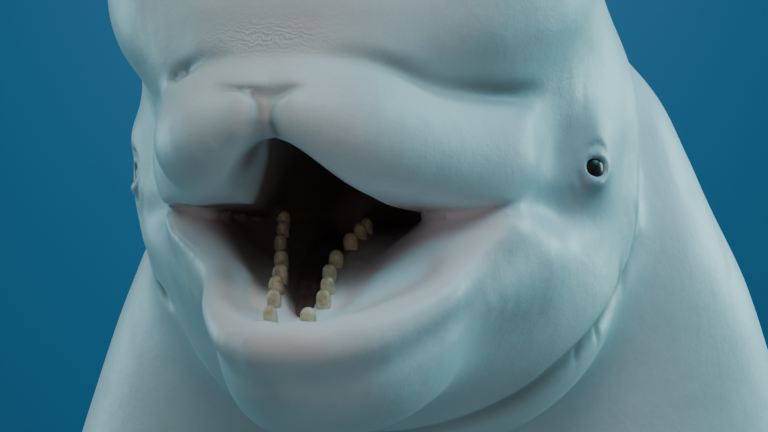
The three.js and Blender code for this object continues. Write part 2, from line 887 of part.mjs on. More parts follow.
// Solids, always facing out
function volume({ points, faces }) {
  return faces.reduce((sum, [a, b, c]) => {
    const [p, q, r] = [points[a], points[b], points[c]];
    return sum
      + p[0] * (q[1] * r[2] - q[2] * r[1])
      + p[1] * (q[2] * r[0] - q[0] * r[2])
      + p[2] * (q[0] * r[1] - q[1] * r[0]);
  }, 0) / 6;
}

function solid({ points, faces }) {
  if (volume({ points, faces }) < 0) {
    faces.forEach((face) => face.reverse());
  }
  const mesh = new wasm.Mesh({
    numProp: 3,
    vertProperties: new Float32Array(points.flat()),
    triVerts: new Uint32Array(faces.flat()),
  });
  mesh.merge();
  return new wasm.Manifold(mesh);
}

// Rings of points, in order, joined and closed at both ends
function loft(rings) {
  const count = rings[0].length;
  const points = rings.flat();
  const faces = [];
  for (let r = 0; r < rings.length - 1; r += 1) {
    for (let i = 0; i < count; i += 1) {
      const a = r * count + i;
      const b = r * count + ((i + 1) % count);
      faces.push(...splitQuad(points, [a, b, b + count, a + count]));
    }
  }
  for (const [start, flip] of [[0, true], [(rings.length - 1) * count, false]]) {
    const middle = points.length;
    points.push([0, 1, 2].map((n) => {
      const ring = points.slice(start, start + count);
      return ring.reduce((sum, p) => sum + p[n], 0) / count;
    }));
    for (let i = 0; i < count; i += 1) {
      const a = start + i;
      const b = start + ((i + 1) % count);
      faces.push(flip ? [b, a, middle] : [a, b, middle]);
    }
  }
  return { points, faces };
}

function largest(shape) {
  return shape.decompose().sort((a, b) => b.volume() - a.volume())[0];
}

function toMesh(name, shape) {
  const mesh = largest(shape).getMesh();
  const geometry = new THREE.BufferGeometry();
  const stride = mesh.numProp;
  const positions = new Float32Array((mesh.vertProperties.length / stride) * 3);
  for (let i = 0; i < positions.length / 3; i += 1) {
    positions.set(mesh.vertProperties.subarray(i * stride, i * stride + 3), i * 3);
  }
  geometry.setAttribute("position", new THREE.BufferAttribute(positions, 3));
  geometry.setIndex(new THREE.BufferAttribute(new Uint32Array(mesh.triVerts), 1));
  geometry.computeVertexNormals();
  const dark = name.startsWith("eye");
  const metal = name.startsWith("stand_rod");
  const material = new THREE.MeshStandardMaterial({
    color: COLOURS[name],
    roughness: dark ? 0.15 : 0.5,
    metalness: metal ? 0.9 : 0,
  });
  const part = new THREE.Mesh(geometry, material);
  part.name = name;
  return part;
}

// A cutting plane in world space through a point, kept as the normal and its offset
function planeAt(point, normal) {
  const length = Math.hypot(...normal);
  const n = normal.map((v) => v / length);
  return { normal: n, offset: n[0] * point[0] + n[1] * point[1] + n[2] * point[2] };
}

function keepAbove(shape, { normal, offset }) {
  return shape.trimByPlane(normal, offset + GAP / 2);
}

function keepBelow(shape, { normal, offset }) {
  return shape.trimByPlane(normal.map((v) => -v), -offset + GAP / 2);
}

function spinePlane(s) {
  const [y, z] = spinePoint(s);
  return planeAt([0, y, z], [0, Math.cos(slope(s)), -Math.sin(slope(s))]);
}

// Trunk between two lengths: rings square to the spine, found by walking out to the surface
function ring(s, shift) {
  const angle = slope(s);
  const [sy, sz] = spinePoint(s);
  const y = sy + shift * Math.cos(angle);
  const z = sz - shift * Math.sin(angle);
  const out = [];
  for (let i = 0; i < RING_POINTS; i += 1) {
    const turn = (2 * Math.PI * i) / RING_POINTS;
    const across = Math.sin(turn);
    const up = Math.cos(turn);
    const at = (r) => [spineX(s) + across * r, y + up * Math.sin(angle) * r, z + up * Math.cos(angle) * r];
    let near = 4;
    while (flesh(at(near + 12)) < 0) near += 12;
    let far = near + 12;
    for (let n = 0; n < 22; n += 1) {
      const middle = (near + far) / 2;
      if (flesh(at(middle)) < 0) near = middle;
      else far = middle;
    }
    out.push(at(near));
  }
  return out;
}

function trunkSegment(from, to, spacing) {
  const count = Math.round((to - from) / spacing);
  const rings = [];
  for (let i = 0; i <= count; i += 1) {
    const shift = i === 0 ? GAP / 2 : i === count ? -GAP / 2 : 0;
    rings.push(ring(from + ((to - from) * i) / count, shift));
  }
  return solid(loft(rings));
}

// A fin's section: rounded front, thin back, from the leading point to the trailing one
function finSection(front, back, thickness, normal) {
  const out = [];
  for (let i = 0; i < FIN_POINTS; i += 1) {
    const turn = (2 * Math.PI * i) / FIN_POINTS;
    const along = (1 - Math.cos(turn)) / 2;
    const swell = Math.sin(turn) * (1 - 0.35 * along) * 0.5 * thickness;
    out.push(front.map((v, n) => v + along * (back[n] - v) + swell * normal[n]));
  }
  return out;
}

function bodyAxes(s) {
  const angle = slope(s);
  return {
    tail: [0, Math.cos(angle), -Math.sin(angle)],
    up: [0, Math.sin(angle), Math.cos(angle)],
  };
}

function flipper(side) {
  const { tail, up } = bodyAxes(FLIPPER_ROOT);
  const [y, z] = spinePoint(FLIPPER_ROOT);
  const turn = THREE.MathUtils.degToRad(38);
  const reach = trunkSize(FLIPPER_ROOT, 1);
  const drop = trunkSize(FLIPPER_ROOT, 3);
  const root = [side * Math.cos(turn) * reach, 0, 0].map((v, n) => (
    v + (n === 1 ? y : 0) + (n === 2 ? z : 0) - up[n] * Math.sin(turn) * drop
  ));
  const span = new THREE.Vector3(side * 0.7, 0, 0)
    .add(new THREE.Vector3(...up).multiplyScalar(-0.5))
    .add(new THREE.Vector3(...tail).multiplyScalar(0.5))
    .normalize();
  const back = new THREE.Vector3(...tail);
  const chordwise = back.clone().addScaledVector(span, -span.dot(back)).normalize();
  const normal = new THREE.Vector3().crossVectors(span, chordwise).multiplyScalar(side);
  const rings = FLIPPER.map(([t, chord, thickness, sweep, curl]) => {
    const middle = new THREE.Vector3(...root)
      .addScaledVector(span, t * FLIPPER_LENGTH)
      .addScaledVector(chordwise, sweep)
      .addScaledVector(normal, curl);
    const ends = [-0.5, 0.5].map((half) => middle.clone().addScaledVector(chordwise, half * chord).toArray());
    return finSection(ends[0], ends[1], thickness, normal.toArray());
  });
  const outward = [side * Math.cos(turn) / reach, 0, 0].map((v, n) => v - (up[n] * Math.sin(turn)) / drop);
  const surface = planeAt(root, outward);
  return { shape: solid(loft(rings)), cut: { ...surface, offset: surface.offset + FLIPPER_STUB } };
}

function fluke(side) {
  const rings = FLUKE.map(([x, front, back, thickness]) => {
    const ends = [front, back].map((s) => [side * x, ...spinePoint(s)]);
    return finSection(ends[0], ends[1], thickness, bodyAxes((front + back) / 2).up);
  });
  return { shape: solid(loft(rings)), cut: planeAt([side * FLUKE_CUT, 0, 0], [side, 0, 0]) };
}

// Small closed shapes
function ball(at, half, place) {
  const rings = [];
  for (let i = 1; i < 9; i += 1) {
    const polar = (Math.PI * i) / 9;
    rings.push(Array.from({ length: 14 }, (unused, j) => {
      const turn = (2 * Math.PI * j) / 14;
      const r = Math.sin(polar);
      return place([
        at[0] + half[0] * r * Math.cos(turn),
        at[1] + half[1] * r * Math.sin(turn),
        at[2] - half[2] * Math.cos(polar),
      ]);
    }));
  }
  return solid(loft(rings));
}

function tooth(x, y, z, place) {
  const profile = [[-8, 0.9], [0, 1], [5, 1], [9.5, 0.78], [12, 0.4]];
  return solid(loft(profile.map(([height, width]) => Array.from({ length: 9 }, (unused, i) => {
    const turn = (2 * Math.PI * i) / 9;
    const r = TOOTH_RADIUS * width;
    return place([
      x + r * Math.cos(turn) - height * 0.08,
      y + r * Math.sin(turn),
      z + (height * TOOTH_HEIGHT) / 12,
    ]);
  }))));
}

function tongue(swell) {
  const rings = TONGUE.toReversed().map(([x, wide, high, z], i, all) => {
    const end = i === 0 ? -swell : i === all.length - 1 ? swell : 0;
    return Array.from({ length: 16 }, (unused, n) => {
      const turn = (2 * Math.PI * n) / 16;
      return fromHead(fromJaw([
        x + end,
        rowMiddle(x) + (wide + swell) * Math.cos(turn),
        z + (high + swell) * Math.sin(turn),
      ]));
    });
  });
  return solid(loft(rings));
}

function blowhole() {
  const column = (x, y) => {
    let z = 120;
    while (flesh(fromHead([x, y, z])) < 0) z += 1;
    return z;
  };
  const rings = [];
  for (let i = 0; i <= 10; i += 1) {
    const turn = THREE.MathUtils.degToRad(-62 + 12.4 * i);
    const x = BLOWHOLE_X + BLOWHOLE_RADIUS * Math.cos(turn);
    const y = BLOWHOLE_RADIUS * Math.sin(turn);
    const width = 2 + 4 * Math.cos(THREE.MathUtils.degToRad(-85 + 17 * i));
    const top = column(x, y);
    rings.push([[-1, -BLOWHOLE_DEPTH], [1, -BLOWHOLE_DEPTH], [1, 20], [-1, 20]].map(([side, z]) => fromHead([
      x + side * width * Math.cos(turn),
      y + side * width * Math.sin(turn),
      top + z,
    ])));
  }
  return solid(loft(rings));
}

// Stand
function upright(profile, x, y, sides) {
  return solid(loft(profile.map(([radius, z]) => Array.from({ length: sides }, (unused, i) => {
    const turn = (2 * Math.PI * i) / sides;
    return [x + radius * Math.cos(turn), y + radius * Math.sin(turn), z];
  }))));
}

function base() {
  const outline = (inset, z) => {
    const out = [];
    const corners = [[1, 1], [-1, 1], [-1, -1], [1, -1]];
    corners.forEach(([sx, sy], n) => {
      for (let i = 0; i <= 6; i += 1) {
        const turn = (Math.PI / 2) * (n + i / 6);
        out.push([
          sx * (BASE_WIDTH / 2 - BASE_CORNER) + (BASE_CORNER - inset) * Math.cos(turn),
          sy * (BASE_LENGTH / 2 - BASE_CORNER) + (BASE_CORNER - inset) * Math.sin(turn),
          z,
        ]);
      }
    });
    return out;
  };
  return solid(loft([
    outline(0, 0),
    outline(0, BASE_THICK - BASE_BEVEL),
    outline(BASE_BEVEL, BASE_THICK),
  ]));
}

function rod({ y, entry }) {
  const foot = BASE_THICK + GAP;
  return upright([
    [FOOT_RADIUS, foot],
    [FOOT_RADIUS, foot + FOOT_RISE * 0.35],
    [FOOT_RADIUS * 0.7, foot + FOOT_RISE * 0.75],
    [ROD_RADIUS, foot + FOOT_RISE],
    [ROD_RADIUS, entry + ROD_DEPTH],
  ], 0, y, ROD_SIDES);
}

function rodSocket({ y, entry }) {
  return upright([
    [ROD_RADIUS + GAP, BASE_THICK],
    [ROD_RADIUS + GAP, entry + ROD_DEPTH + GAP],
  ], 0, y, ROD_SIDES);
}

// Head: meshed in its own frame, then parted from the neck and split into head and lower jaw
function headBlock() {
  const neck = spinePlane(NECK_START);
  const field = (h) => {
    const p = fromHead(h);
    const behind = neck.normal[0] * p[0] + neck.normal[1] * p[1] + neck.normal[2] * p[2] - neck.offset;
    return Math.max(flesh(p), behind - 12);
  };
  let surface = isoSurface(field, [-400, -345, -340], [380, 345, 330], HEAD_CELL);
  for (const tolerance of [2.8, 2.4, 2.2]) {
    surface = refine(field, surface, tolerance, HEAD_DETAIL);
  }
  const whole = solid({ points: surface.points.map(fromHead), faces: surface.faces });
  return largest(keepBelow(whole, neck));
}

function buildWhale() {
  const pieces = {};
  const block = headBlock();
  const at = fromHead(JAW_CUT_AT);
  const ahead = fromHead([JAW_CUT_AT[0] + 1, 0, JAW_CUT_AT[2] - JAW_CUT_SLOPE]).map((v, n) => v - at[n]);
  const normal = new THREE.Vector3(...ahead).cross(LEFT).toArray();
  const jawPlane = planeAt(at, normal);

  pieces.head = keepAbove(block, jawPlane);
  for (const [name, eye] of Object.entries(EYES)) {
    const place = (p) => fromEye(eye, p);
    const opening = ball(LID_OPENING.at, LID_OPENING.half, place);
    const socket = ball([0, 0, 0], Array(3).fill(EYE_RADIUS + GAP), place);
    pieces.head = pieces.head.subtract(opening).subtract(socket);
    pieces[`eye_${name}`] = ball([0, 0, 0], Array(3).fill(EYE_RADIUS), place);
  }
  pieces.head = pieces.head.subtract(blowhole());

  pieces.lower_jaw = keepBelow(block, jawPlane).subtract(tongue(GAP));
  pieces.tongue = tongue(0);
  for (const [x, half] of TEETH) {
    const place = (p) => fromHead(fromJaw(p, x));
    for (const side of [1, -1]) {
      const y = rowMiddle(x) + side * half;
      pieces.lower_jaw = pieces.lower_jaw.add(tooth(x, y, gumHeight(x, y), place));
    }
  }

  for (const [name, from, to, spacing] of SEGMENTS) {
    pieces[name] = trunkSegment(from, to, spacing);
  }
  for (const [side, end] of [[1, "left"], [-1, "right"]]) {
    const fin = flipper(side);
    pieces.chest = pieces.chest.add(keepBelow(fin.shape, fin.cut));
    pieces[`flipper_${end}`] = keepAbove(fin.shape, fin.cut);
    const tail = fluke(side);
    pieces.tail_stock = pieces.tail_stock.add(keepBelow(tail.shape, tail.cut));
    pieces[`fluke_${end}`] = keepAbove(tail.shape, tail.cut);
  }
  return pieces;
}

function gumHeight(x, y) {
  let z = -110;
  while (flesh(fromHead(fromJaw([x, y, z]))) < 0 && z < -20) z += 0.5;
  return z;
}

function buildPart() {
  const pieces = buildWhale();
  for (const [name, place] of Object.entries(RODS)) {
    const socket = rodSocket(place);
    for (const part of ["neck", "chest", "belly", "rump", "tail_stock"]) {
      pieces[part] = pieces[part].subtract(socket);
    }
    pieces[`stand_rod_${name}`] = rod(place);
  }
  pieces.stand_base = base();

  const group = new THREE.Group();
  group.name = "beluga_whale";
  for (const [name, shape] of Object.entries(pieces)) {
    group.add(toMesh(name, shape));
  }
  return group;
}

export default buildPart();
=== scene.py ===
"""Looks of the beluga whale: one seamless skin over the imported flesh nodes, eyes, teeth, tongue and stand.

The skin is the same smooth field as the solids, in millimetres and negative inside, meshed finely here.
Blender objects are in metres.
"""
import math

import bpy
import numpy as np
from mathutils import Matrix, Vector
from mathutils.kdtree import KDTree


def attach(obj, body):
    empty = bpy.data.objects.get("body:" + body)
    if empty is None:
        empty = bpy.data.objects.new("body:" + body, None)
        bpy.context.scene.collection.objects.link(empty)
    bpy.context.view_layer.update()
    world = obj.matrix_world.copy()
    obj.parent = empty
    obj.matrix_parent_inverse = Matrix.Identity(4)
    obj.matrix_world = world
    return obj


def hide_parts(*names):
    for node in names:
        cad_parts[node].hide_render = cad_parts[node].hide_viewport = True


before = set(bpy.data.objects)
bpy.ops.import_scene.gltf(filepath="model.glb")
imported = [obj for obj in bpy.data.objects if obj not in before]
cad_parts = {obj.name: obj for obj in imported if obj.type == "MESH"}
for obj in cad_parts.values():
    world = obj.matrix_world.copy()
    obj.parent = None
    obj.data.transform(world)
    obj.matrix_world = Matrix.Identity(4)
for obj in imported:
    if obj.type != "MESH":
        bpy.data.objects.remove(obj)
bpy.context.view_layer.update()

# Head frame: x forward, y to the whale's left, z up, origin midway between the eyes
HEAD = np.array([-68.0, -820.0, 3380.0])
HEAD_YAW = math.radians(13.5)
HEAD_PITCH = math.radians(6)
HEAD_REACH = 650.0

# The lower jaw is drawn closed and swung down about a line through the cheeks
GAPE = math.radians(24.5)
HINGE = np.array([60.0, 0.0, -46.0])
JAW_SHIFT = 5.0

# Its front is pushed out towards -Y, from nothing at the first length to all at the second
JAW_PUSH = 34.0
PUSH_FROM, PUSH_TO = 125.0, 225.0

# The lips draw in on the whale's right, along the side and at the front corner of the lower one
LIP_TUCK = 28.0
FRONT_TUCK = 11.0

# Line midway between the rows of teeth: its place in front, and how it leans to the right further back
ROW_MIDDLE, ROW_BEND, ROW_LEAN = 3.0, 245.0, 0.15

# Head masses: centre, half sizes, squareness, pitch
SKULL = ((-116, 0, 18), (262, 232, 216), 2.3, 0.0)
MELON = ((66, 0, 156), (216, 211, 142), 2.35, math.radians(-6))
MELON_BASE = ((128, 0, 78), (172, 112, 74), 2.7, 0.0)
ROSTRUM = ((150, 0, 22), (160, 110, 44), 2.0, 0.0)
CHIN = ((112, 0, -114), (184, 118, 76), 2.2, 0.0)
THROAT = ((-58, 14, -92), (200, 208, 166), 2.0, 0.0)

# Lips: x, y, z, radius along the left half, the upper one in the head frame and the lower one in the jaw's
UPPER_LIP = [
    (302, 20, 2, 27),
    (266, 56, -6, 43),
    (206, 90, -7, 48),
    (142, 118, -5, 49),
    (84, 140, -2, 47),
    (20, 152, 8, 44),
]
LOWER_LIP = [
    (300, 0, -70, 21),
    (299, 14, -70, 21),
    (293, 32, -70, 21),
    (270, 62, -70, 19),
    (214, 99, -65, 16),
    (182, 114, -54, 15),
    (160, 128, -43, 15),
    (141, 145, -31, 13),
    (122, 152, -31, 11),
]

# Flesh inside the lower lip, in the jaw's frame
JAW_FILL = [
    (284, 0, -94, 24),
    (262, 40, -94, 26),
    (214, 66, -92, 32),
    (175, 86, -84, 36),
    (141, 116, -72, 40),
    (100, 136, -62, 40),
]

# Rim of the lower lip in the jaw's frame: length, half width, height
RIM = np.array([
    (40, 176, -12),
    (100, 172, -12),
    (141, 163, -13),
    (160, 136, -31),
    (182, 123, -42),
    (214, 109, -50),
    (270, 78, -50),
    (305, 50, -51),
    (325, 10, -52),
], float)

# Middle of the mouth's floor in the jaw's frame: length, height
FLOOR = np.array([
    (-60, -95),
    (0, -80),
    (60, -66),
    (120, -56),
    (160, -53),
    (200, -58),
    (240, -63),
    (276, -61),
    (288, -58),
    (300, -49),
    (325, -46),
], float)
CHANNEL_FROM, CHANNEL_DEPTH = 272.0, 17.0

# The floor rises to the rim between these shares of the half width, and sooner by these on the whale's left
RISE_FROM, RISE_TO = 0.3, 1.0
SOONER_FROM, SOONER_TO = 0.16, 0.28

# Roof of the mouth: its height behind and at the front, that of the lips' line, and how far
# from the middle it comes down to that line at the cheeks and at the front on either side
ROOF_BACK, ROOF_FRONT, LIP_LINE = 20.0, -16.0, -52.0
ROOF_MIDDLE, ROOF_CHEEK, ROOF_LEFT, ROOF_RIGHT = 6.0, 102.0, 68.0, 55.0

# Back of the mouth: where it ends, and how far its wall comes forward on either side
THROAT_END, WALL_LEFT, WALL_RIGHT = -106.0, 238.0, 190.0

# Eyes: middle of each ball (width taken as positive), and how far it looks forward from straight out
EYES = {
    1: (np.array([28.0, 202.0, -2.0]), math.radians(40)),
    -1: (np.array([14.0, 204.0, -2.0]), math.radians(24)),
}
EYE_RADIUS = 17.0
LID_OPENING = ((1, 14, 0), (11.5, 26, 7.8), 2.0, 0.0)

# Blowhole: part of a ring on top of the head, ahead of its middle, this many degrees to each side
BLOWHOLE_X = -150.0
BLOWHOLE_RADIUS = 40.0
BLOWHOLE_DEPTH = 26.0
BLOWHOLE_TURN = 62

# Lower teeth: length, half the distance between the rows, in the jaw's frame
TEETH = [(272, 15), (242, 20), (220, 21), (199, 20.5), (174, 23.5), (132, 31), (89, 35), (60, 38)]
TEETH_X = [x for x, half in reversed(TEETH)]
TEETH_HALF = [half for x, half in reversed(TEETH)]
TOOTH_RADIUS = 5.6
TOOTH_HEIGHT = 13.0

# Tongue: length, half width, half height, height of its middle, in the jaw's frame
TONGUE = [
    (238, 3.5, 3.5, -74),
    (228, 8, 7, -77),
    (200, 13, 11, -79),
    (160, 17, 13, -76),
    (120, 21, 15, -79),
    (60, 27, 18, -88),
    (0, 31, 21, -104),
]

# Spine: slope below the horizontal along its length from the eyes
SPINE_START, SPINE_END, SPINE_STEP = -100.0, 3700.0, 10.0
SPINE_DROP = -5.0
SLOPE_HEAD, SLOPE_NECK, SLOPE_TAIL = 6.0, 60.0, -16.0
NECK_BOW = 4.0

# Stations of the trunk: length from the eyes, half width, back above the spine, belly below it
TRUNK = np.array([
    (-100, 182, 165, 150),
    (120, 262, 182, 172),
    (330, 347, 228, 224),
    (520, 406, 272, 280),
    (760, 442, 320, 330),
    (1050, 452, 354, 366),
    (1450, 448, 378, 390),
    (1850, 420, 368, 376),
    (2250, 350, 320, 320),
    (2650, 256, 260, 244),
    (3000, 168, 199, 174),
    (3300, 100, 140, 117),
    (3550, 54, 84, 70),
    (3700, 30, 46, 40),
], float)
RIDGE_FROM, RIDGE_TO, RIDGE_HEIGHT, RIDGE_WIDTH = 1720.0, 2480.0, 26.0, 22.0

# Flippers: fraction of the length, chord, thickness, sweep of the middle of the chord, upward curl
FLIPPER_ROOT, FLIPPER_LENGTH = 690.0, 500.0
FLIPPER = np.array([
    (-0.22, 190, 84, -6, 0),
    (0, 196, 74, 0, 0),
    (0.18, 226, 62, 12, 0),
    (0.38, 268, 50, 24, 2),
    (0.58, 292, 40, 34, 8),
    (0.75, 280, 32, 42, 20),
    (0.87, 238, 26, 48, 34),
    (0.95, 172, 20, 52, 46),
    (0.99, 98, 12, 54, 53),
    (1, 30, 5, 55, 55),
], float)

# Flukes: distance from the middle, leading edge, trailing edge (lengths along the spine), thickness
FLUKE = np.array([
    (0, 3440, 3806, 74),
    (40, 3462, 3836, 66),
    (90, 3500, 3876, 54),
    (160, 3560, 3912, 44),
    (240, 3634, 3938, 35),
    (320, 3712, 3956, 28),
    (400, 3794, 3974, 21),
    (460, 3860, 3990, 16),
    (500, 3912, 4002, 11),
    (520, 3950, 4006, 7),
    (528, 3978, 4004, 4),
], float)

# Stand
ROD_RADIUS = 34.0
FOOT_RADIUS, FOOT_RISE = 92.0, 26.0
RODS = {"front": (-180.0, 1760.0), "rear": (330.0, 940.0)}
ROD_DEPTH = 260.0
BASE_THICK = 40.0

# Mesh: size of the first cells, then longest edge on the face and on the rest
CELL = 12.0
FACE_EDGE = 3.6
NECK_EDGE = 8.0


# Small maths on rows of points
def smooth(start, end, v):
    t = np.clip((v - start) / (end - start), 0, 1)
    return t * t * (3 - 2 * t)


def join(a, b, width):
    h = np.maximum(width - np.abs(a - b), 0) / width
    return np.minimum(a, b) - h * h * width / 4


def meet(a, b, width):
    return -join(-a, -b, width)


def length(rows):
    return np.sqrt((rows * rows).sum(1))


def mirrored(p):
    return np.stack([p[:, 0], np.abs(p[:, 1]), p[:, 2]], 1)


# Head frame
def head_axes():
    forward = np.array([
        -math.sin(HEAD_YAW) * math.cos(HEAD_PITCH),
        -math.cos(HEAD_YAW) * math.cos(HEAD_PITCH),
        math.sin(HEAD_PITCH),
    ])
    left = np.array([math.cos(HEAD_YAW), -math.sin(HEAD_YAW), 0.0])
    return np.stack([forward, left, np.cross(forward, left)])


HEAD_AXES = head_axes()


def to_head(p):
    return (p - HEAD) @ HEAD_AXES.T


def from_head(h):
    return np.atleast_2d(h) @ HEAD_AXES + HEAD


def turned(p, angle):
    q = p - HINGE
    c, s = math.cos(angle), math.sin(angle)
    return np.stack([q[:, 0] * c - q[:, 2] * s, q[:, 1], q[:, 0] * s + q[:, 2] * c], 1) + HINGE


def push(x):
    return JAW_PUSH * smooth(PUSH_FROM, PUSH_TO, x)[:, None] * -HEAD_AXES[:, 1]


def pulled_in(h):
    """Where a point of the head's frame lay before the jaw's front was pushed out."""
    before = h
    for turn in range(4):
        before = h - push(turned(before, GAPE)[:, 0])
    return before


def from_jaw(j, at=None):
    """Rows from the jaw's frame; with at, all are pushed as one point at that length."""
    j = np.atleast_2d(j)
    x = j[:, 0] if at is None else np.full(len(j), at)
    return turned(j, -GAPE) + push(x)


# Rounded masses, pipes of changing radius, swellings and creases
def mass(p, shape):
    at, half, power, pitch = shape
    q = p - np.array(at, float)
    c, s = math.cos(pitch), math.sin(pitch)
    u = np.abs(q[:, 0] * c + q[:, 2] * s) / half[0]
    v = np.abs(q[:, 1]) / half[1]
    w = np.abs(-q[:, 0] * s + q[:, 2] * c) / half[2]
    k = (u ** power + v ** power + w ** power) ** (1 / power) + 1e-9
    return length(q) * (1 - 1 / k)


def through(a, b, c, d, t):
    """The smooth curve through four rows, at the share t of the way from b to c."""
    return 0.5 * (2 * b + (c - a) * t + (2 * a - 5 * b + 4 * c - d) * t * t
                  + (3 * b - a - 3 * c + d) * t ** 3)


def curve(points, pieces=4):
    rows = np.array(points, float)
    rows = np.vstack([2 * rows[0] - rows[1], rows, 2 * rows[-1] - rows[-2]])
    out = []
    for i in range(1, len(rows) - 2):
        a, b, c, d = rows[i - 1:i + 3]
        for t in np.arange(pieces) / pieces:
            out.append(through(a, b, c, d, t))
    return np.array(out + [rows[-2]])


def near_curve(p, samples, reach):
    """Which points come within reach of the curve's box."""
    low, high = samples[:, :3].min(0) - reach, samples[:, :3].max(0) + reach
    return np.nonzero(((p > low) & (p < high)).all(1))[0]


def pipe(p, points):
    samples = curve(points)
    out = np.full(len(p), 120.0)
    at = near_curve(p, samples, 130)
    q = p[at]
    best = np.full(len(q), 120.0)
    for a, b in zip(samples[:-1], samples[1:]):
        d = b[:3] - a[:3]
        size = math.sqrt(d @ d)
        d = d / size
        tilt = (b[3] - a[3]) / size
        r = q - a[:3]
        t = r @ d
        off = np.sqrt(np.maximum((r * r).sum(1) - t * t, 0))
        t = np.clip(t + off * tilt / math.sqrt(max(1 - tilt * tilt, 0.05)), 0, size)
        best = np.minimum(best, length(r - t[:, None] * d) - a[3] - tilt * t)
    out[at] = best
    return out


def crease(p, points, width):
    """A channel along a curve whose fourth column is its depth."""
    samples = curve(points)
    out = np.zeros(len(p))
    at = near_curve(p, samples, 3 * width)
    if not len(at):
        return out
    q = p[at]
    nearest = np.full(len(q), 1e9)
    depth = np.zeros(len(q))
    for a, b in zip(samples[:-1], samples[1:]):
        d = b[:3] - a[:3]
        t = np.clip(((q - a[:3]) @ d) / (d @ d), 0, 1)
        gap = length(q - a[:3] - t[:, None] * d)
        closer = gap < nearest
        nearest = np.where(closer, gap, nearest)
        depth = np.where(closer, a[3] + t * (b[3] - a[3]), depth)
    out[at] = depth * np.exp(-(nearest / width) ** 2)
    return out


def swelling(p, at, size, height):
    q = (p - np.array(at, float)) / np.array(size, float)
    return -height * np.exp(-(q * q).sum(1))


# Grooves: points with their depth, width, and the frame that they are drawn in
GROOVES = [
    # edge of the melon over the lip
    ([(299, 34, 52, 0), (287, 63, 51, 3), (262, 87, 46, 6), (230, 112, 39, 9), (192, 138, 40, 12),
      (160, 158, 43, 10), (136, 176, 46, 6), (116, 188, 48, 0)], 8, "lips"),
    ([(246, 98, 42, 0), (224, 114, 38, 3), (192, 138, 39, 4), (160, 158, 42, 5), (136, 176, 44, 4),
      (118, 186, 42, 2), (104, 193, 38, 0)], 2.6, "lips"),
    # line above the middle of the lip, and the notch under it
    ([(308, -50, 27, 0), (315, -26, 21, 5), (319, -4, 18, 7), (320, 12, 19, 6), (315, 32, 25, 0)],
     5.5, "head"),
    ([(318, -9, 14, 1), (320, -4, 7, 5), (321, -1, -2, 8), (318, -1, -10, 8), (308, -1, -20, 7)],
     3.4, "head"),
    ([(319, 6, 13, 1), (320, 2, 6, 4), (321, -1, -1, 5)], 3, "head"),
    ([(322, -1, 2, 3), (319, -1, -8, 6), (308, -1, -18, 6)], 12, "head"),
    # corner of the mouth
    ([(128, 184, -40, 0), (138, 177, -44, 5), (149, 168, -48, 6), (160, 156, -52, 3), (172, 146, -54, 0)],
     6, "lips"),
    # throat against the neck
    ([(-132, 240, -36, 0), (-121, 236, -60, 6), (-90, 221, -100, 9), (-29, 211, -140, 10), (5, 180, -177, 10),
      (16, 146, -205, 9), (29, 78, -233, 6), (34, 0, -240, 4)], 12, "side"),
    # short folds of the neck
    ([(-73, 233, -22, 0), (-96, 238, -38, 4), (-106, 230, -72, 5), (-118, 220, -108, 0)], 6, "head"),
    ([(-60, 226, -70, 0), (-72, 224, -96, 4), (-58, 214, -122, 0)], 5, "head"),
    ([(-20, 206, -116, 0), (-34, 208, -136, 4), (-52, 204, -158, 0)], 5, "head"),
    ([(-6, 190, -140, 0), (-18, 188, -162, 3), (-34, 180, -182, 0)], 5, "head"),
    # lids
    ([(24, 14, -4, 0), (19, 15, -11, 2.5), (13, 16, -20, 3.5), (3, 17, -27, 4), (-8, 17, -26, 3.5),
      (-17, 16, -18, 2), (-22, 15, -8, 0)], 4, "eye"),
    ([(30, 12, -14, 0), (20, 14, -31, 2.5), (4, 16, -39, 3), (-12, 16, -37, 2), (-24, 15, -26, 0)], 5, "eye"),
    ([(20, 16, 6, 0), (10, 17, 16, 3), (-4, 17, 20, 3), (-16, 16, 12, 1.5), (-22, 16, 2, 0)], 4, "eye"),
]

# Swellings (hollows where the height is negative): middle, reach, height, frame
SWELLINGS = [
    ((292, 0, 38), (30, 54, 20), 9, "side"),
    ((262, 66, 34), (44, 34, 24), 7, "side"),
    ((225, 128, 74), (60, 50, 34), 7, "side"),
    ((228, -112, 44), (38, 26, 30), 9, "head"),
    ((98, 200, -4), (44, 60, 58), -26, "side"),
    ((74, 206, -6), (25, 60, 40), -5, "side"),
    ((85, 196, -44), (62, 60, 18), -12, "side"),
    ((-44, 222, 0), (24, 60, 70), -5, "side"),
    ((-80, 226, 110), (110, 70, 74), 13, "side"),
    ((-138, 240, 40), (38, 70, 130), -24, "side"),
    ((-260, 262, 110), (90, 80, 90), 32, "side"),
    ((-4, 8, 38), (38, 60, 22), 6, "eye"),
    ((34, 210, -2), (30, 60, 24), 10, "head"),
    ((1, 14, -14), (16, 40, 7), 4, "eye"),
]


def to_eye(h):
    """Frame of the nearer eye: forward along the face, outward, up."""
    out = np.empty_like(h)
    for side, (at, turn) in EYES.items():
        own = (h[:, 1] > 0) == (side > 0)
        m = mirrored(h[own]) - at
        c, s = math.cos(turn), math.sin(turn)
        out[own] = np.stack([m[:, 0] * c - m[:, 1] * s, m[:, 0] * s + m[:, 1] * c, m[:, 2]], 1)
    return out


def to_lips(h):
    """The lips draw in a little towards the middle on the whale's right."""
    out = h.copy()
    out[:, 1] -= LIP_TUCK * (1 - smooth(180, 280, h[:, 0])) * smooth(20, 90, -h[:, 1])
    return out


def jaw_of(h):
    """The jaw's frame, with the lip drawn in and its front corner a little more on the whale's right."""
    j = turned(to_lips(pulled_in(h)), GAPE)
    j[:, 1] -= FRONT_TUCK * smooth(225, 285, j[:, 0]) * smooth(0, 40, JAW_SHIFT - j[:, 1])
    return j


def face_frames(h):
    return {"head": h, "side": mirrored(h), "eye": to_eye(h), "lips": mirrored(to_lips(h))}


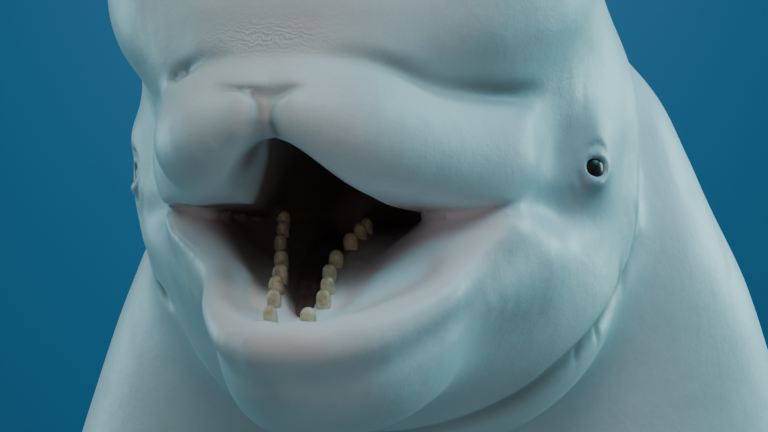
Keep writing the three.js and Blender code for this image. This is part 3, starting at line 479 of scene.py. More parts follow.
def grooves(h):
    frames = face_frames(h)
    return sum(crease(frames[name], points, width) for points, width, name in GROOVES)


def swellings(h):
    frames = face_frames(h)
    return sum(swelling(frames[name], at, size, height) for at, size, height, name in SWELLINGS)


def row_middle(x):
    return ROW_MIDDLE - ROW_LEAN * np.maximum(ROW_BEND - x, 0)


def jaw_floor(j):
    """Height of the floor of the mouth in the jaw's frame: a bowl with a channel for the tongue."""
    x = j[:, 0]
    across = np.abs(j[:, 1] - JAW_SHIFT) / np.interp(x, RIM[:, 0], RIM[:, 1])
    middle = np.interp(x, FLOOR[:, 0], FLOOR[:, 1])
    edge = np.interp(x, RIM[:, 0], RIM[:, 2]) + 6
    back = np.maximum(CHANNEL_FROM - x, 0)
    off = j[:, 1] - row_middle(x)
    channel = CHANNEL_DEPTH * smooth(0, 70, back) * np.exp(-(off / (6 + np.minimum(0.1 * back, 12))) ** 4)
    ridge = 4 * np.exp(-((np.abs(off) - np.interp(x, TEETH_X, TEETH_HALF)) / 9) ** 2)
    left = smooth(0, 60, j[:, 1])
    rise = smooth(RISE_FROM - SOONER_FROM * left, RISE_TO - SOONER_TO * left, across)
    return middle + (edge - middle) * rise - channel + ridge


def mouth(h):
    """Positive outside the hollow of the mouth."""
    j = jaw_of(h)
    h = to_lips(h)
    y = np.abs(h[:, 1])
    arch = ROOF_BACK - (ROOF_BACK - ROOF_FRONT) * smooth(190, 322, h[:, 0])
    front = np.where(h[:, 1] < 0, ROOF_RIGHT, ROOF_LEFT)
    inside = ROOF_CHEEK + (front - ROOF_CHEEK) * smooth(60, 200, h[:, 0])
    roof = arch - (arch - LIP_LINE) * smooth(ROOF_MIDDLE, inside, y)
    palate = h[:, 2] - roof - 4 * smooth(120, 150, y)
    floor = jaw_floor(j) - j[:, 2]
    left_back = THROAT_END + WALL_LEFT * smooth(30, 96, y)
    right_back = THROAT_END + WALL_RIGHT * np.minimum((y / 150) ** 2, 2)
    back = np.where(h[:, 1] > 0, left_back, right_back) - h[:, 0]
    return meet(meet(palate, floor, 4), back, 20)


def head_field(h):
    upper = join(mass(h, SKULL), mass(h, MELON), 50)
    upper = join(upper, mass(h, MELON_BASE), 40)
    upper = join(upper, mass(h, ROSTRUM), 25)
    drawn = to_lips(h)
    upper = join(upper, pipe(mirrored(drawn), UPPER_LIP), 18)
    j = jaw_of(h) - np.array([0, JAW_SHIFT, 0])
    side = mirrored(j)
    lower = join(join(mass(j, CHIN), pipe(side, JAW_FILL), 30), pipe(side, LOWER_LIP), 16)
    lower = join(lower, mass(h, THROAT), 60)
    return join(upper, lower, 14)


# Trunk
def slope(s):
    return np.radians(SLOPE_HEAD + SLOPE_NECK * smooth(-80, 480, s) + SLOPE_TAIL * smooth(1700, 3700, s))


def walk_spine():
    s = np.arange(SPINE_START, SPINE_END + 320 + 1, SPINE_STEP)
    angle = slope(s[:-1] + SPINE_STEP / 2)
    y = np.concatenate([[0], np.cumsum(np.cos(angle) * SPINE_STEP)])
    z = np.concatenate([[0], np.cumsum(-np.sin(angle) * SPINE_STEP)])
    return s, y - np.interp(0, s, y) + HEAD[1], z - np.interp(0, s, z) + HEAD[2] + SPINE_DROP


SPINE_S, SPINE_Y, SPINE_Z = walk_spine()


def spine_x(s):
    return HEAD[0] * (1 - smooth(-80, 280, s)) + NECK_BOW * smooth(-80, 220, s) * (1 - smooth(380, 560, s))


def spine_coordinates(p):
    """Length along the spine, and the place across, above and ahead of it."""
    y, z = p[:, 1], p[:, 2]
    s = np.zeros(len(p))
    nearest = np.full(len(p), 1e18)
    for i in range(0, int((SPINE_END - SPINE_START) / SPINE_STEP) + 1, 12):
        d = (y - SPINE_Y[i]) ** 2 + (z - SPINE_Z[i]) ** 2
        closer = d < nearest
        nearest = np.where(closer, d, nearest)
        s = np.where(closer, SPINE_S[i], s)
    for turn in range(5):
        angle = slope(s)
        dy = y - np.interp(s, SPINE_S, SPINE_Y)
        dz = z - np.interp(s, SPINE_S, SPINE_Z)
        ahead = dy * np.cos(angle) - dz * np.sin(angle)
        up = dy * np.sin(angle) + dz * np.cos(angle)
        if turn < 4:
            bend = (slope(s + 5) - slope(s - 5)) / 10
            step = np.clip(ahead / np.maximum(1 + bend * up, 0.3), -70, 70)
            s = np.clip(s + step, SPINE_START, SPINE_END)
    return s, p[:, 0] - spine_x(s), up, ahead


def trunk_sizes(s):
    x, rows = TRUNK[:, 0], TRUNK[:, 1:]
    i = np.clip(np.searchsorted(x, s) - 1, 0, len(x) - 2)
    h = x[i + 1] - x[i]
    t = np.clip((s - x[i]) / h, 0, 1)[:, None]
    rise = np.diff(rows, axis=0) / np.diff(x)[:, None]
    tangent = np.vstack([rise[:1], (rise[:-1] + rise[1:]) / 2, rise[-1:]])
    tangent[1:-1] = np.where(rise[:-1] * rise[1:] > 0, tangent[1:-1], 0)
    h = h[:, None]
    return ((2 * t ** 3 - 3 * t ** 2 + 1) * rows[i] + (t ** 3 - 2 * t ** 2 + t) * h * tangent[i]
            + (-2 * t ** 3 + 3 * t ** 2) * rows[i + 1] + (t ** 3 - t ** 2) * h * tangent[i + 1])


def trunk_field(p):
    s, x, up, ahead = spine_coordinates(p)
    size = trunk_sizes(s)
    tall = np.where(up > 0, size[:, 1], size[:, 2])
    q = np.sqrt((x / size[:, 0]) ** 2 + (up / tall) ** 2 + (ahead / 120) ** 2) + 1e-9
    along = smooth(RIDGE_FROM, RIDGE_FROM + 260, s) * (1 - smooth(RIDGE_TO - 260, RIDGE_TO, s))
    ridge = np.where(up > 0, RIDGE_HEIGHT * along * np.exp(-(x / RIDGE_WIDTH) ** 2), 0)
    return np.sqrt(x * x + up * up + ahead * ahead) * (1 - 1 / q) - ridge


def uncut(h, trunk):
    """The head with its grooves and swellings, before the mouth is hollowed out."""
    return join(head_field(h), trunk, 40) + grooves(h) + swellings(h)


def blowhole(h, whole):
    """Negative inside the crescent on the top of the head."""
    x, y = h[:, 0] - BLOWHOLE_X, h[:, 1]
    turn = np.degrees(np.arctan2(y, x))
    width = 2 + 4 * np.cos(np.radians(np.clip(turn * 85 / BLOWHOLE_TURN, -90, 90)))
    slot = np.maximum(np.abs(np.hypot(x, y) - BLOWHOLE_RADIUS) - width, -BLOWHOLE_DEPTH - whole)
    return np.where((np.abs(turn) < BLOWHOLE_TURN) & (h[:, 2] > 120), slot, 50)


def flesh(p):
    out = trunk_field(p)
    at = np.nonzero(((p - HEAD) ** 2).sum(1) < HEAD_REACH ** 2)[0]
    if len(at):
        h = to_head(p[at])
        whole = uncut(h, out[at])
        whole = meet(whole, -blowhole(h, whole), 3)
        whole = meet(whole, -mass(to_eye(h), LID_OPENING), 5)
        out[at] = meet(whole, -mouth(h), 6)
    return out


# Meshing: cells of one size in a band round the surface, one point in each that it crosses
CORNERS = np.array([[i & 1, i >> 1 & 1, i >> 2] for i in range(8)])
EDGES = [(0, 1), (2, 3), (4, 5), (6, 7), (0, 2), (1, 3), (4, 6), (5, 7), (0, 4), (1, 5), (2, 6), (3, 7)]
SQUARES = [(0, 1, 3, 2), (4, 5, 7, 6), (0, 1, 5, 4), (2, 3, 7, 6), (0, 2, 6, 4), (1, 3, 7, 5)]


def key(cells):
    return (cells[..., 0] * 4096 + cells[..., 1]) * 4096 + cells[..., 2]


def band_cells(field, low, high, cell, ratio):
    big = cell * ratio
    n = np.ceil((high - low) / big).astype(int)
    grid = np.stack(np.meshgrid(*[np.arange(k) for k in n], indexing="ij"), -1).reshape(-1, 3)
    f = field(low + (grid + 0.5) * big)
    grid = grid[np.abs(f) < big * 1.7]
    inner = np.stack(np.meshgrid(*[np.arange(ratio)] * 3, indexing="ij"), -1).reshape(-1, 3)
    return (grid[:, None] * ratio + inner[None]).reshape(-1, 3) + 1


def cell_surface(field, low, high, cell, ratio=4):
    cells = band_cells(field, low, high, cell, ratio)
    corner_keys = key(cells[:, None] + CORNERS[None])
    keys, where = np.unique(corner_keys, return_inverse=True)
    where = where.reshape(corner_keys.shape)
    grid = np.stack([keys >> 24, keys >> 12 & 4095, keys & 4095], 1)
    values = field(low + (grid - 1) * cell)
    while True:
        v = values[where]
        pinched = np.zeros(len(values), bool)
        for square in SQUARES:
            inside = v[:, square] < 0
            a, b, c, d = inside.T
            bad = (a == c) & (b == d) & (a != b)
            pinched[where[bad][:, square][~inside[bad]]] = True
        if not pinched.any():
            break
        values[pinched] = -0.5

    total = np.zeros((len(cells), 3))
    count = np.zeros(len(cells))
    for a, b in EDGES:
        crossed = (v[:, a] < 0) != (v[:, b] < 0)
        t = np.where(crossed, v[:, a] / np.where(crossed, v[:, a] - v[:, b], 1), 0)
        total += crossed[:, None] * (CORNERS[a] + t[:, None] * (CORNERS[b] - CORNERS[a]))
        count += crossed
    has = count > 0
    points = low + (cells[has] - 1 + total[has] / count[has, None]) * cell
    cell_keys = key(cells[has])
    order = np.argsort(cell_keys)
    sorted_keys = cell_keys[order]

    quads = []
    for axis, (u, w) in enumerate([(1, 2), (2, 0), (0, 1)]):
        step = np.zeros(3, int)
        step[axis] = 1
        ahead = key(grid + step)
        slot = np.clip(np.searchsorted(keys, ahead), 0, len(keys) - 1)
        inside = values < 0
        crossed = (keys[slot] == ahead) & (inside != inside[slot])
        at = grid[crossed]
        ring = []
        for du, dw in [(0, 0), (1, 0), (1, 1), (0, 1)]:
            c = at.copy()
            c[:, u] -= du
            c[:, w] -= dw
            spot = np.clip(np.searchsorted(sorted_keys, key(c)), 0, len(sorted_keys) - 1)
            ring.append(np.where(sorted_keys[spot] == key(c), order[spot], -1))
        ring = np.stack(ring, 1)
        ring[~inside[crossed]] = ring[~inside[crossed]][:, ::-1]
        quads.append(ring[(ring >= 0).all(1)])
    quads = np.vstack(quads)
    d1 = length(points[quads[:, 0]] - points[quads[:, 2]])
    d2 = length(points[quads[:, 1]] - points[quads[:, 3]])
    short = (d1 < d2)[:, None]
    first = np.where(short, quads[:, [0, 1, 2]], quads[:, [1, 2, 3]])
    second = np.where(short, quads[:, [0, 2, 3]], quads[:, [3, 0, 1]])
    return settle(field, points, cell / 2), np.vstack([first, second])


TETRA = np.array([(1, 1, 1), (1, -1, -1), (-1, 1, -1), (-1, -1, 1)], float)


def settle(field, points, limit, rounds=2):
    """Moves points onto the surface along the field's slope."""
    p = points.copy()
    step = 0.7
    for _ in range(rounds):
        values = np.stack([field(p + corner * step) for corner in TETRA])
        g = np.einsum("in,ik->nk", values, TETRA) / (4 * step)
        size = np.maximum((g * g).sum(1), 0.09)
        p -= g * np.clip(values.mean(0) / size, -limit, limit)[:, None]
    return p


def split_long(field, points, faces, longest):
    """Splits every edge longer than its own limit in two, and keeps the mesh closed."""
    edges = np.sort(np.vstack([faces[:, [0, 1]], faces[:, [1, 2]], faces[:, [2, 0]]]), 1)
    keys, where = np.unique(edges[:, 0].astype(np.int64) << 32 | edges[:, 1], return_inverse=True)
    a, b = keys >> 32, keys & 0xFFFFFFFF
    middle = (points[a] + points[b]) / 2
    split = length(points[a] - points[b]) > longest(middle)
    index = np.where(split, len(points) + np.cumsum(split) - 1, -1)
    points = np.vstack([points, settle(field, middle[split], 3.0)])
    x, y, z = index[where].reshape(3, -1)
    a, b, c = faces.T
    count = (x >= 0).astype(int) + (y >= 0) + (z >= 0)
    out = [faces[count == 0]]
    m = count == 3
    for tri in [(a, x, z), (x, b, y), (z, y, c), (x, y, z)]:
        out.append(np.stack([v[m] for v in tri], 1))
    for p, q, r, u, v, w in [(a, b, c, x, y, z), (b, c, a, y, z, x), (c, a, b, z, x, y)]:
        m = (count == 1) & (u >= 0)
        for tri in [(p, u, r), (u, q, r)]:
            out.append(np.stack([k[m] for k in tri], 1))
        m = (count == 2) & (u < 0)
        out.append(np.stack([r[m], w[m], v[m]], 1))
        corners = np.stack([p[m], q[m], v[m], w[m]], 1)
        d1 = length(points[corners[:, 0]] - points[corners[:, 2]])
        d2 = length(points[corners[:, 1]] - points[corners[:, 3]])
        short = (d1 < d2)[:, None]
        out.append(np.where(short, corners[:, [0, 1, 2]], corners[:, [1, 2, 3]]))
        out.append(np.where(short, corners[:, [0, 2, 3]], corners[:, [3, 0, 1]]))
    return points, np.vstack(out)


def longest_edge(p):
    """Finest at the eyes and the middle of the lip, fine on the face, middling on the neck, else free."""
    h = to_head(p)
    fine = np.minimum(length(to_eye(h)), length(h - np.array([316, 0, 2])))
    face = 1 - smooth(0, 120, -80 - h[:, 0])
    near = 1 - smooth(420, 640, length(p - HEAD))
    limit = FACE_EDGE + (NECK_EDGE - FACE_EDGE) * (1 - face)
    limit = limit * (1 - 0.5 * (1 - smooth(40, 60, fine)))
    return np.where(near > 0, limit + (1 - near) * 14, 1e9)


# Meshes
def new_object(name, points, faces, material):
    mesh = bpy.data.meshes.new(name)
    mesh.from_pydata((points / 1000).tolist(), [], [list(map(int, f)) for f in faces])
    mesh.shade_smooth()
    obj = bpy.data.objects.new(name, mesh)
    bpy.context.scene.collection.objects.link(obj)
    if material:
        mesh.materials.append(material)
    return obj


def loft(rings):
    """Rings of points joined in order and closed at both ends."""
    count = len(rings[0])
    points = np.vstack(list(rings) + [np.mean(rings[0], 0), np.mean(rings[-1], 0)])
    faces = []
    for r in range(len(rings) - 1):
        for i in range(count):
            a, b = r * count + i, r * count + (i + 1) % count
            faces.append((a, b, b + count, a + count))
    start, end = len(points) - 2, len(points) - 1
    last = (len(rings) - 1) * count
    for i in range(count):
        n = (i + 1) % count
        faces.append((n, i, start))
        faces.append((last + i, last + n, end))
    return points, outward(points, faces)


def outward(points, faces):
    total = 0.0
    for f in faces:
        for i in range(1, len(f) - 1):
            total += np.dot(points[f[0]], np.cross(points[f[i]], points[f[i + 1]]))
    return faces if total > 0 else [tuple(reversed(f)) for f in faces]


# Fins
def fin_table(rows, count):
    """The table's rows with smooth ones between them."""
    x = np.linspace(0, len(rows) - 1, count)
    i = np.clip(x.astype(int), 0, len(rows) - 2)
    t = (x - i)[:, None]
    rows = np.vstack([2 * rows[0] - rows[1], rows, 2 * rows[-1] - rows[-2]])
    a, b, c, d = rows[i], rows[i + 1], rows[i + 2], rows[i + 3]
    return through(a, b, c, d, t)


def fin_section(front, back, thickness, normal, count=56):
    turn = 2 * np.pi * np.arange(count) / count
    along = (1 - np.cos(turn)) / 2
    swell = np.sin(turn) * (1 - 0.35 * along) * 0.5 * thickness
    return front + along[:, None] * (back - front) + swell[:, None] * normal


def spine_point(s):
    return np.array([np.interp(s, SPINE_S, SPINE_Y), np.interp(s, SPINE_S, SPINE_Z)])


def body_axes(s):
    angle = float(slope(s))
    return np.array([0, math.cos(angle), -math.sin(angle)]), np.array([0, math.sin(angle), math.cos(angle)])


def unit(v):
    return v / math.sqrt(v @ v)


def flipper(side):
    tail, up = body_axes(FLIPPER_ROOT)
    y, z = spine_point(FLIPPER_ROOT)
    half, _, drop = trunk_sizes(np.array([FLIPPER_ROOT]))[0]
    turn = math.radians(38)
    root = np.array([side * math.cos(turn) * half, y, z]) - up * math.sin(turn) * drop
    span = unit(np.array([side * 0.7, 0, 0]) - 0.5 * up + 0.5 * tail)
    chordwise = unit(tail - span * (span @ tail))
    normal = np.cross(span, chordwise) * side
    rings = []
    for t, chord, thickness, sweep, curl in fin_table(FLIPPER, 64):
        middle = root + span * t * FLIPPER_LENGTH + chordwise * sweep + normal * curl
        front, back = middle - chordwise * chord / 2, middle + chordwise * chord / 2
        rings.append(fin_section(front, back, thickness, normal))
    return loft(rings)


def fluke(side):
    rings = []
    for x, front, back, thickness in fin_table(FLUKE, 64):
        ends = [np.array([side * x, *spine_point(s)]) for s in (front, back)]
        rings.append(fin_section(ends[0], ends[1], thickness, body_axes((front + back) / 2)[1]))
    return loft(rings)


def mesh_arrays(mesh):
    points = np.empty(len(mesh.vertices) * 3)
    mesh.vertices.foreach_get("co", points)
    edges = np.empty(len(mesh.edges) * 2, int)
    mesh.edges.foreach_get("vertices", edges)
    return points.reshape(-1, 3) * 1000, edges.reshape(-1, 2)


def join_solids(body, others):
    for other in others:
        cut = body.modifiers.new("join", "BOOLEAN")
        cut.operation = "UNION"
        cut.solver = "MANIFOLD"
        cut.object = other
    mesh = bpy.data.meshes.new_from_object(body.evaluated_get(bpy.context.evaluated_depsgraph_get()))
    body.modifiers.clear()
    body.data = mesh
    for other in others:
        bpy.data.objects.remove(other)
    return body


def soften_roots(obj):
    """Rounds the corner where each fin leaves the body."""
    points, edges = mesh_arrays(obj.data)
    s, x, up, ahead = spine_coordinates(points)
    fins = np.nonzero(((s > 480) & (s < 1100) & (np.abs(x) > 200)) | (s > 3300))[0]
    gap = flesh(points[fins])
    seam = points[fins[(gap > 0.8) & (gap < 6)]]
    if not len(seam):
        return
    tree = KDTree(len(seam))
    for i, p in enumerate(seam):
        tree.insert(p, i)
    tree.balance()
    near = np.array([tree.find(points[i])[2] for i in fins])
    reach = np.where(s[fins] > 3300, 34.0, 60.0)
    weight = np.zeros(len(points))
    weight[fins] = 1 - smooth(0.2, 1, near / reach)
    live = (weight[edges[:, 0]] > 0) | (weight[edges[:, 1]] > 0)
    a, b = edges[live].T
    for _ in range(40):
        total = np.zeros_like(points)
        count = np.zeros(len(points))
        np.add.at(total, a, points[b])
        np.add.at(total, b, points[a])
        np.add.at(count, a, 1)
        np.add.at(count, b, 1)
        has = count > 0
        points[has] += 0.5 * weight[has, None] * (total[has] / count[has, None] - points[has])
    obj.data.vertices.foreach_set("co", (points / 1000).ravel())
    obj.data.update()


# Skin
def build_skin():
    low = np.array([-620.0, -1320.0, 60.0])
    high = np.array([620.0, 1300.0, 3760.0])
    points, faces = cell_surface(flesh, low, high, CELL)
    for _ in range(2):
        points, faces = split_long(flesh, points, faces, longest_edge)
    skin = new_object("skin", points, faces, None)
    fins = []
    for side in (1, -1):
        fins.append(new_object("fin", *flipper(side), None))
        fins.append(new_object("fin", *fluke(side), None))
    skin = join_solids(skin, fins)
    soften_roots(skin)
    skin.data.shade_smooth()
    return skin


def paint(obj, name, values):
    layer = obj.data.attributes.new(name, "FLOAT", "POINT")
    layer.data.foreach_set("value", np.clip(values, 0, 1).astype(np.float32))


def paint_skin(obj):
    """Where the skin is pink, dark or wrinkled, from its own shape, with painted shade inside the mouth,
    round the eyes, in the hollows before them and along the grooves.
    """
    points, _ = mesh_arrays(obj.data)
    h = to_head(points)
    j = jaw_of(h)
    close = length(points - HEAD) < 520
    cut = np.zeros(len(points))
    cut[close] = -uncut(h[close], trunk_field(points[close]))
    # Painted shade inside the mouth, over its dark flesh: across the floor from a slanting edge on the
    # whale's right to just past the middle, fading out towards the front, and on the roof above it.
    above = smooth(10, 22, j[:, 2] - jaw_floor(j))
    inner = smooth(2, 5, cut) * (1 - smooth(2, 5, mouth(h))) * close
    right_shade_edge = -130 + 1.31 * (j[:, 0] - 148)
    depth = smooth(-16, 18, j[:, 1] - right_shade_edge) * (1 - smooth(5, 48, j[:, 1]))
    depth *= 1 - smooth(200, 246, j[:, 0])
    edge = 1 - above * (1 - smooth(5, 15, cut))
    paint(obj, "inner", inner * edge)
    roof = above * (1 - smooth(15, 55, j[:, 1]))
    paint(obj, "throat_dark_and_shade", inner * np.maximum(depth, roof) * edge)
    lip = np.minimum(np.abs(pipe(mirrored(j - np.array([0, JAW_SHIFT, 0])), LOWER_LIP)), 60)
    paint(obj, "lower_lip", np.where(close, (1 - smooth(2, 14, lip)) * smooth(-110, -60, j[:, 2]), 0))
    brow = np.exp(-((h[:, 0] - 290) / 60) ** 2 - ((h[:, 1] + 6) / 42) ** 2 - ((h[:, 2] - 66) / 13) ** 2)
    paint(obj, "wrinkle", brow)
    # Painted shade round the eye's opening, fading out about 40 mm from it.
    eye = length(to_eye(h) - np.array([0, 14, 0]))
    paint(obj, "eye_socket_shade", np.where(close, 1 - smooth(12, 40, eye), 0))
    # Painted shade in the hollow between the corner of the mouth and the eye.
    hollow_shade = np.exp(-((h[:, 0] - 75) / 90) ** 2 - ((h[:, 2] - 15) / 70) ** 2) * smooth(100, 150, h[:, 1])
    paint(obj, "hollow_shade", np.where(close, hollow_shade, 0))
    # Painted shade along the grooves, darker where they are deeper.
    crease_shade = np.zeros(len(points))
    crease_shade[close] = grooves(h[close]) / 6
    paint(obj, "crease_shade", crease_shade)


# Materials
def material(name):
    mat = bpy.data.materials.new(name)
    mat.use_nodes = True
    nodes, links = mat.node_tree.nodes, mat.node_tree.links
    return mat, nodes, links, nodes["Principled BSDF"]


def add(nodes, kind, **values):
    node = nodes.new(kind)
    for name, value in values.items():
        if name in node.inputs:
            node.inputs[name].default_value = value
        else:
            setattr(node, name, value)
    return node


def mix_colour(nodes, links, factor, a, b):
    """Colour a where factor is 0 and b where it is 1; either may be a socket or four numbers."""
    node = nodes.new("ShaderNodeMix")
    node.data_type = "RGBA"
    for socket, value in ((node.inputs[0], factor), (node.inputs[6], a), (node.inputs[7], b)):
        if isinstance(value, bpy.types.NodeSocket):
            links.new(value, socket)
        else:
            socket.default_value = value
    return node.outputs[2]


def noise(nodes, links, place, scale, detail, low, high):
    node = add(nodes, "ShaderNodeTexNoise", Scale=scale, Detail=detail)
    links.new(place, node.inputs["Vector"])
    ramp = add(nodes, "ShaderNodeMapRange")
    ramp.inputs["From Min"].default_value = low
    ramp.inputs["From Max"].default_value = high
    links.new(node.outputs["Fac"], ramp.inputs["Value"])
    return ramp.outputs[0]


def attribute(nodes, name):
    return add(nodes, "ShaderNodeAttribute", attribute_name=name).outputs["Fac"]


def times(nodes, links, a, b):
    node = add(nodes, "ShaderNodeMath", operation="MULTIPLY")
    for socket, value in zip(node.inputs, (a, b)):
        if isinstance(value, bpy.types.NodeSocket):
            links.new(value, socket)
        else:
            socket.default_value = value
    return node.outputs[0]


def tinted(nodes, links, colour, factor, weight, tone):
    """The colour with a tone over it, by a painted attribute's name or a socket, times a weight."""
    if isinstance(factor, str):
        factor = attribute(nodes, factor)
    if weight != 1:
        factor = times(nodes, links, factor, weight)
    return mix_colour(nodes, links, factor, colour, (*tone, 1))


def grain(nodes, links, place, shader, strength, distance, scale, detail):
    """Fine relief over the whole piece."""
    bump = add(nodes, "ShaderNodeBump", Strength=strength, Distance=distance)
    fine = add(nodes, "ShaderNodeTexNoise", Scale=scale, Detail=detail)
    links.new(place, fine.inputs["Vector"])
    links.new(fine.outputs["Fac"], bump.inputs["Height"])
    links.new(bump.outputs[0], shader.inputs["Normal"])


def skin_material():
    mat, nodes, links, shader = material("beluga_skin")
    place = nodes.new("ShaderNodeTexCoord").outputs["Object"]
    colour = mix_colour(nodes, links, noise(nodes, links, place, 2.2, 5, 0.35, 0.65),
                        (0.54, 0.63, 0.66, 1), (0.68, 0.75, 0.77, 1))
    blotch = noise(nodes, links, place, 14, 6, 0.5, 0.72)
    speck = noise(nodes, links, place, 260, 3, 0.62, 0.8)
    for factor, weight, tone in [
        (blotch, 0.35, (0.52, 0.57, 0.58)),
        (speck, 0.25, (0.45, 0.46, 0.46)),
        ("lower_lip", 0.6, (0.74, 0.66, 0.68)),
        ("inner", 1, (0.80, 0.70, 0.73)),
        # dark flesh of the mouth with painted shade over it
        ("throat_dark_and_shade", 1, (0.20, 0.165, 0.15)),
        # painted shade round the eye
        ("eye_socket_shade", 0.55, (0.28, 0.30, 0.31)),
        # painted shade in the hollow before the eye
        ("hollow_shade", 0.8, (0.30, 0.40, 0.46)),
        # painted shade in the grooves
        ("crease_shade", 0.6, (0.20, 0.19, 0.18)),
    ]:
        colour = tinted(nodes, links, colour, factor, weight, tone)
    links.new(colour, shader.inputs["Base Color"])
    shader.inputs["Subsurface Weight"].default_value = 0.06
    shader.inputs["Subsurface Radius"].default_value = (1.0, 0.5, 0.35)
    shader.inputs["Subsurface Scale"].default_value = 0.012
    shader.inputs["Specular IOR Level"].default_value = 0.4
    rough = add(nodes, "ShaderNodeMapRange")
    rough.inputs["To Min"].default_value = 0.42
    rough.inputs["To Max"].default_value = 0.58
    links.new(blotch, rough.inputs["Value"])
    links.new(rough.outputs[0], shader.inputs["Roughness"])

    fine = add(nodes, "ShaderNodeTexNoise", Scale=420.0, Detail=4.0)
    links.new(place, fine.inputs["Vector"])
    soft = add(nodes, "ShaderNodeTexNoise", Scale=38.0, Detail=3.0)
    links.new(place, soft.inputs["Vector"])
    waves = add(nodes, "ShaderNodeTexWave", Scale=70.0, Distortion=13.0, Detail=3.0)
    waves.inputs["Detail Scale"].default_value = 1.6
    waves.bands_direction = "Z"
    links.new(place, waves.inputs["Vector"])
    first = add(nodes, "ShaderNodeBump", Strength=0.10, Distance=0.002)
    links.new(fine.outputs["Fac"], first.inputs["Height"])
    second = add(nodes, "ShaderNodeBump", Strength=0.18, Distance=0.006)
    links.new(soft.outputs["Fac"], second.inputs["Height"])
    links.new(first.outputs[0], second.inputs["Normal"])
    third = add(nodes, "ShaderNodeBump", Distance=0.002)
    links.new(times(nodes, links, attribute(nodes, "wrinkle"), 0.3), third.inputs["Strength"])
    links.new(waves.outputs["Fac"], third.inputs["Height"])
    links.new(second.outputs[0], third.inputs["Normal"])
    links.new(third.outputs[0], shader.inputs["Normal"])
    return mat


def eye_material():
    mat, nodes, links, shader = material("eye_wet")
    place = nodes.new("ShaderNodeTexCoord").outputs["Object"]
    colour = mix_colour(nodes, links, noise(nodes, links, place, 300, 3, 0.3, 0.7),
                        (0.012, 0.010, 0.010, 1), (0.030, 0.024, 0.022, 1))
    links.new(colour, shader.inputs["Base Color"])
    shader.inputs["Roughness"].default_value = 0.34
    shader.inputs["Specular IOR Level"].default_value = 0.3
    return mat


def tooth_material():
    mat, nodes, links, shader = material("tooth_enamel")
    place = nodes.new("ShaderNodeTexCoord").outputs["Object"]
    colour = mix_colour(nodes, links, noise(nodes, links, place, 160, 4, 0.35, 0.7),
                        (0.56, 0.50, 0.36, 1), (0.34, 0.26, 0.14, 1))
    links.new(colour, shader.inputs["Base Color"])
    shader.inputs["Roughness"].default_value = 0.35
    grain(nodes, links, place, shader, 0.2, 0.001, 600.0, 2.0)
    return mat


def tongue_material():
    mat, nodes, links, shader = material("tongue_wet")
    place = nodes.new("ShaderNodeTexCoord").outputs["Object"]
    # Dark tone: partly the tongue's own, partly painted shade of the deep mouth.
    colour = mix_colour(nodes, links, noise(nodes, links, place, 60, 4, 0.35, 0.7),
                        (0.10, 0.075, 0.07, 1), (0.17, 0.13, 0.12, 1))
    links.new(colour, shader.inputs["Base Color"])
    shader.inputs["Roughness"].default_value = 0.4
    grain(nodes, links, place, shader, 0.3, 0.002, 220.0, 3.0)
    return mat


def painted_material():
    mat, nodes, links, shader = material("base_paint")
    place = nodes.new("ShaderNodeTexCoord").outputs["Object"]
    colour = mix_colour(nodes, links, noise(nodes, links, place, 3, 6, 0.4, 0.7),
                        (0.042, 0.045, 0.048, 1), (0.060, 0.063, 0.066, 1))
    links.new(colour, shader.inputs["Base Color"])
    shader.inputs["Roughness"].default_value = 0.45
    grain(nodes, links, place, shader, 0.12, 0.001, 90.0, 4.0)
    return mat


def steel_material():
    mat, nodes, links, shader = material("rod_steel")
    place = nodes.new("ShaderNodeTexCoord").outputs["Object"]
    stretch = add(nodes, "ShaderNodeMapping")
    stretch.inputs["Scale"].default_value = (260, 260, 6)
    links.new(place, stretch.inputs["Vector"])
    brushed = noise(nodes, links, stretch.outputs[0], 1.0, 3, 0.3, 0.7)
    colour = mix_colour(nodes, links, brushed, (0.50, 0.52, 0.54, 1), (0.62, 0.64, 0.66, 1))
    links.new(colour, shader.inputs["Base Color"])
    shader.inputs["Metallic"].default_value = 1.0
    rough = add(nodes, "ShaderNodeMapRange")
    rough.inputs["To Min"].default_value = 0.26
    rough.inputs["To Max"].default_value = 0.4
    links.new(brushed, rough.inputs["Value"])
    links.new(rough.outputs[0], shader.inputs["Roughness"])
    return mat


# Small pieces
def ring(x, y, z, radius_x, radius_y, count):
    turn = 2 * np.pi * np.arange(count) / count
    return np.stack([x + radius_x * np.cos(turn), y + radius_y * np.sin(turn), np.full(count, z)], 1)


def build_eye(name, side, mat):
    centre = EYES[side][0] * np.array([1, side, 1])
    rings = []
    for polar in np.linspace(0.05, math.pi - 0.05, 40):
        r = EYE_RADIUS * math.sin(polar)
        height = centre[2] - EYE_RADIUS * math.cos(polar)
        rings.append(from_head(ring(centre[0], centre[1], height, r, r, 64)))
    return new_object(name, *loft(rings), mat)


def gum_height(x, y):
    z = np.arange(-120, -20, 0.25)
    line = np.stack([np.full_like(z, x), np.full_like(z, y), z], 1)
    inside = flesh(from_head(from_jaw(line))) < 0
    return z[int(np.argmin(inside))]


def build_teeth(mat):
    profile = [(-8, 0.86), (-2, 0.95), (1, 1.0), (4, 1.02), (6.5, 0.99), (8.5, 0.9), (10, 0.76), (11.2, 0.55),
               (11.8, 0.3)]
    all_points, all_faces, count = [], [], 0
    for n, (x, half) in enumerate(TEETH):
        for side in (1, -1):
            y = row_middle(x) + side * half
            gum = gum_height(x, y)
            wide = TOOTH_RADIUS * (1 + 0.07 * math.sin(5 * n + side))
            rings = []
            for height, width in profile:
                r = wide * width
                rings.append(ring(x - height * 0.08, y, gum + height * TOOTH_HEIGHT / 12, r, r * 1.06, 24))
            points, faces = loft([from_head(from_jaw(r, x)) for r in rings])
            all_points.append(points)
            all_faces += [tuple(i + count for i in f) for f in faces]
            count += len(points)
    return new_object("teeth", np.vstack(all_points), all_faces, mat)


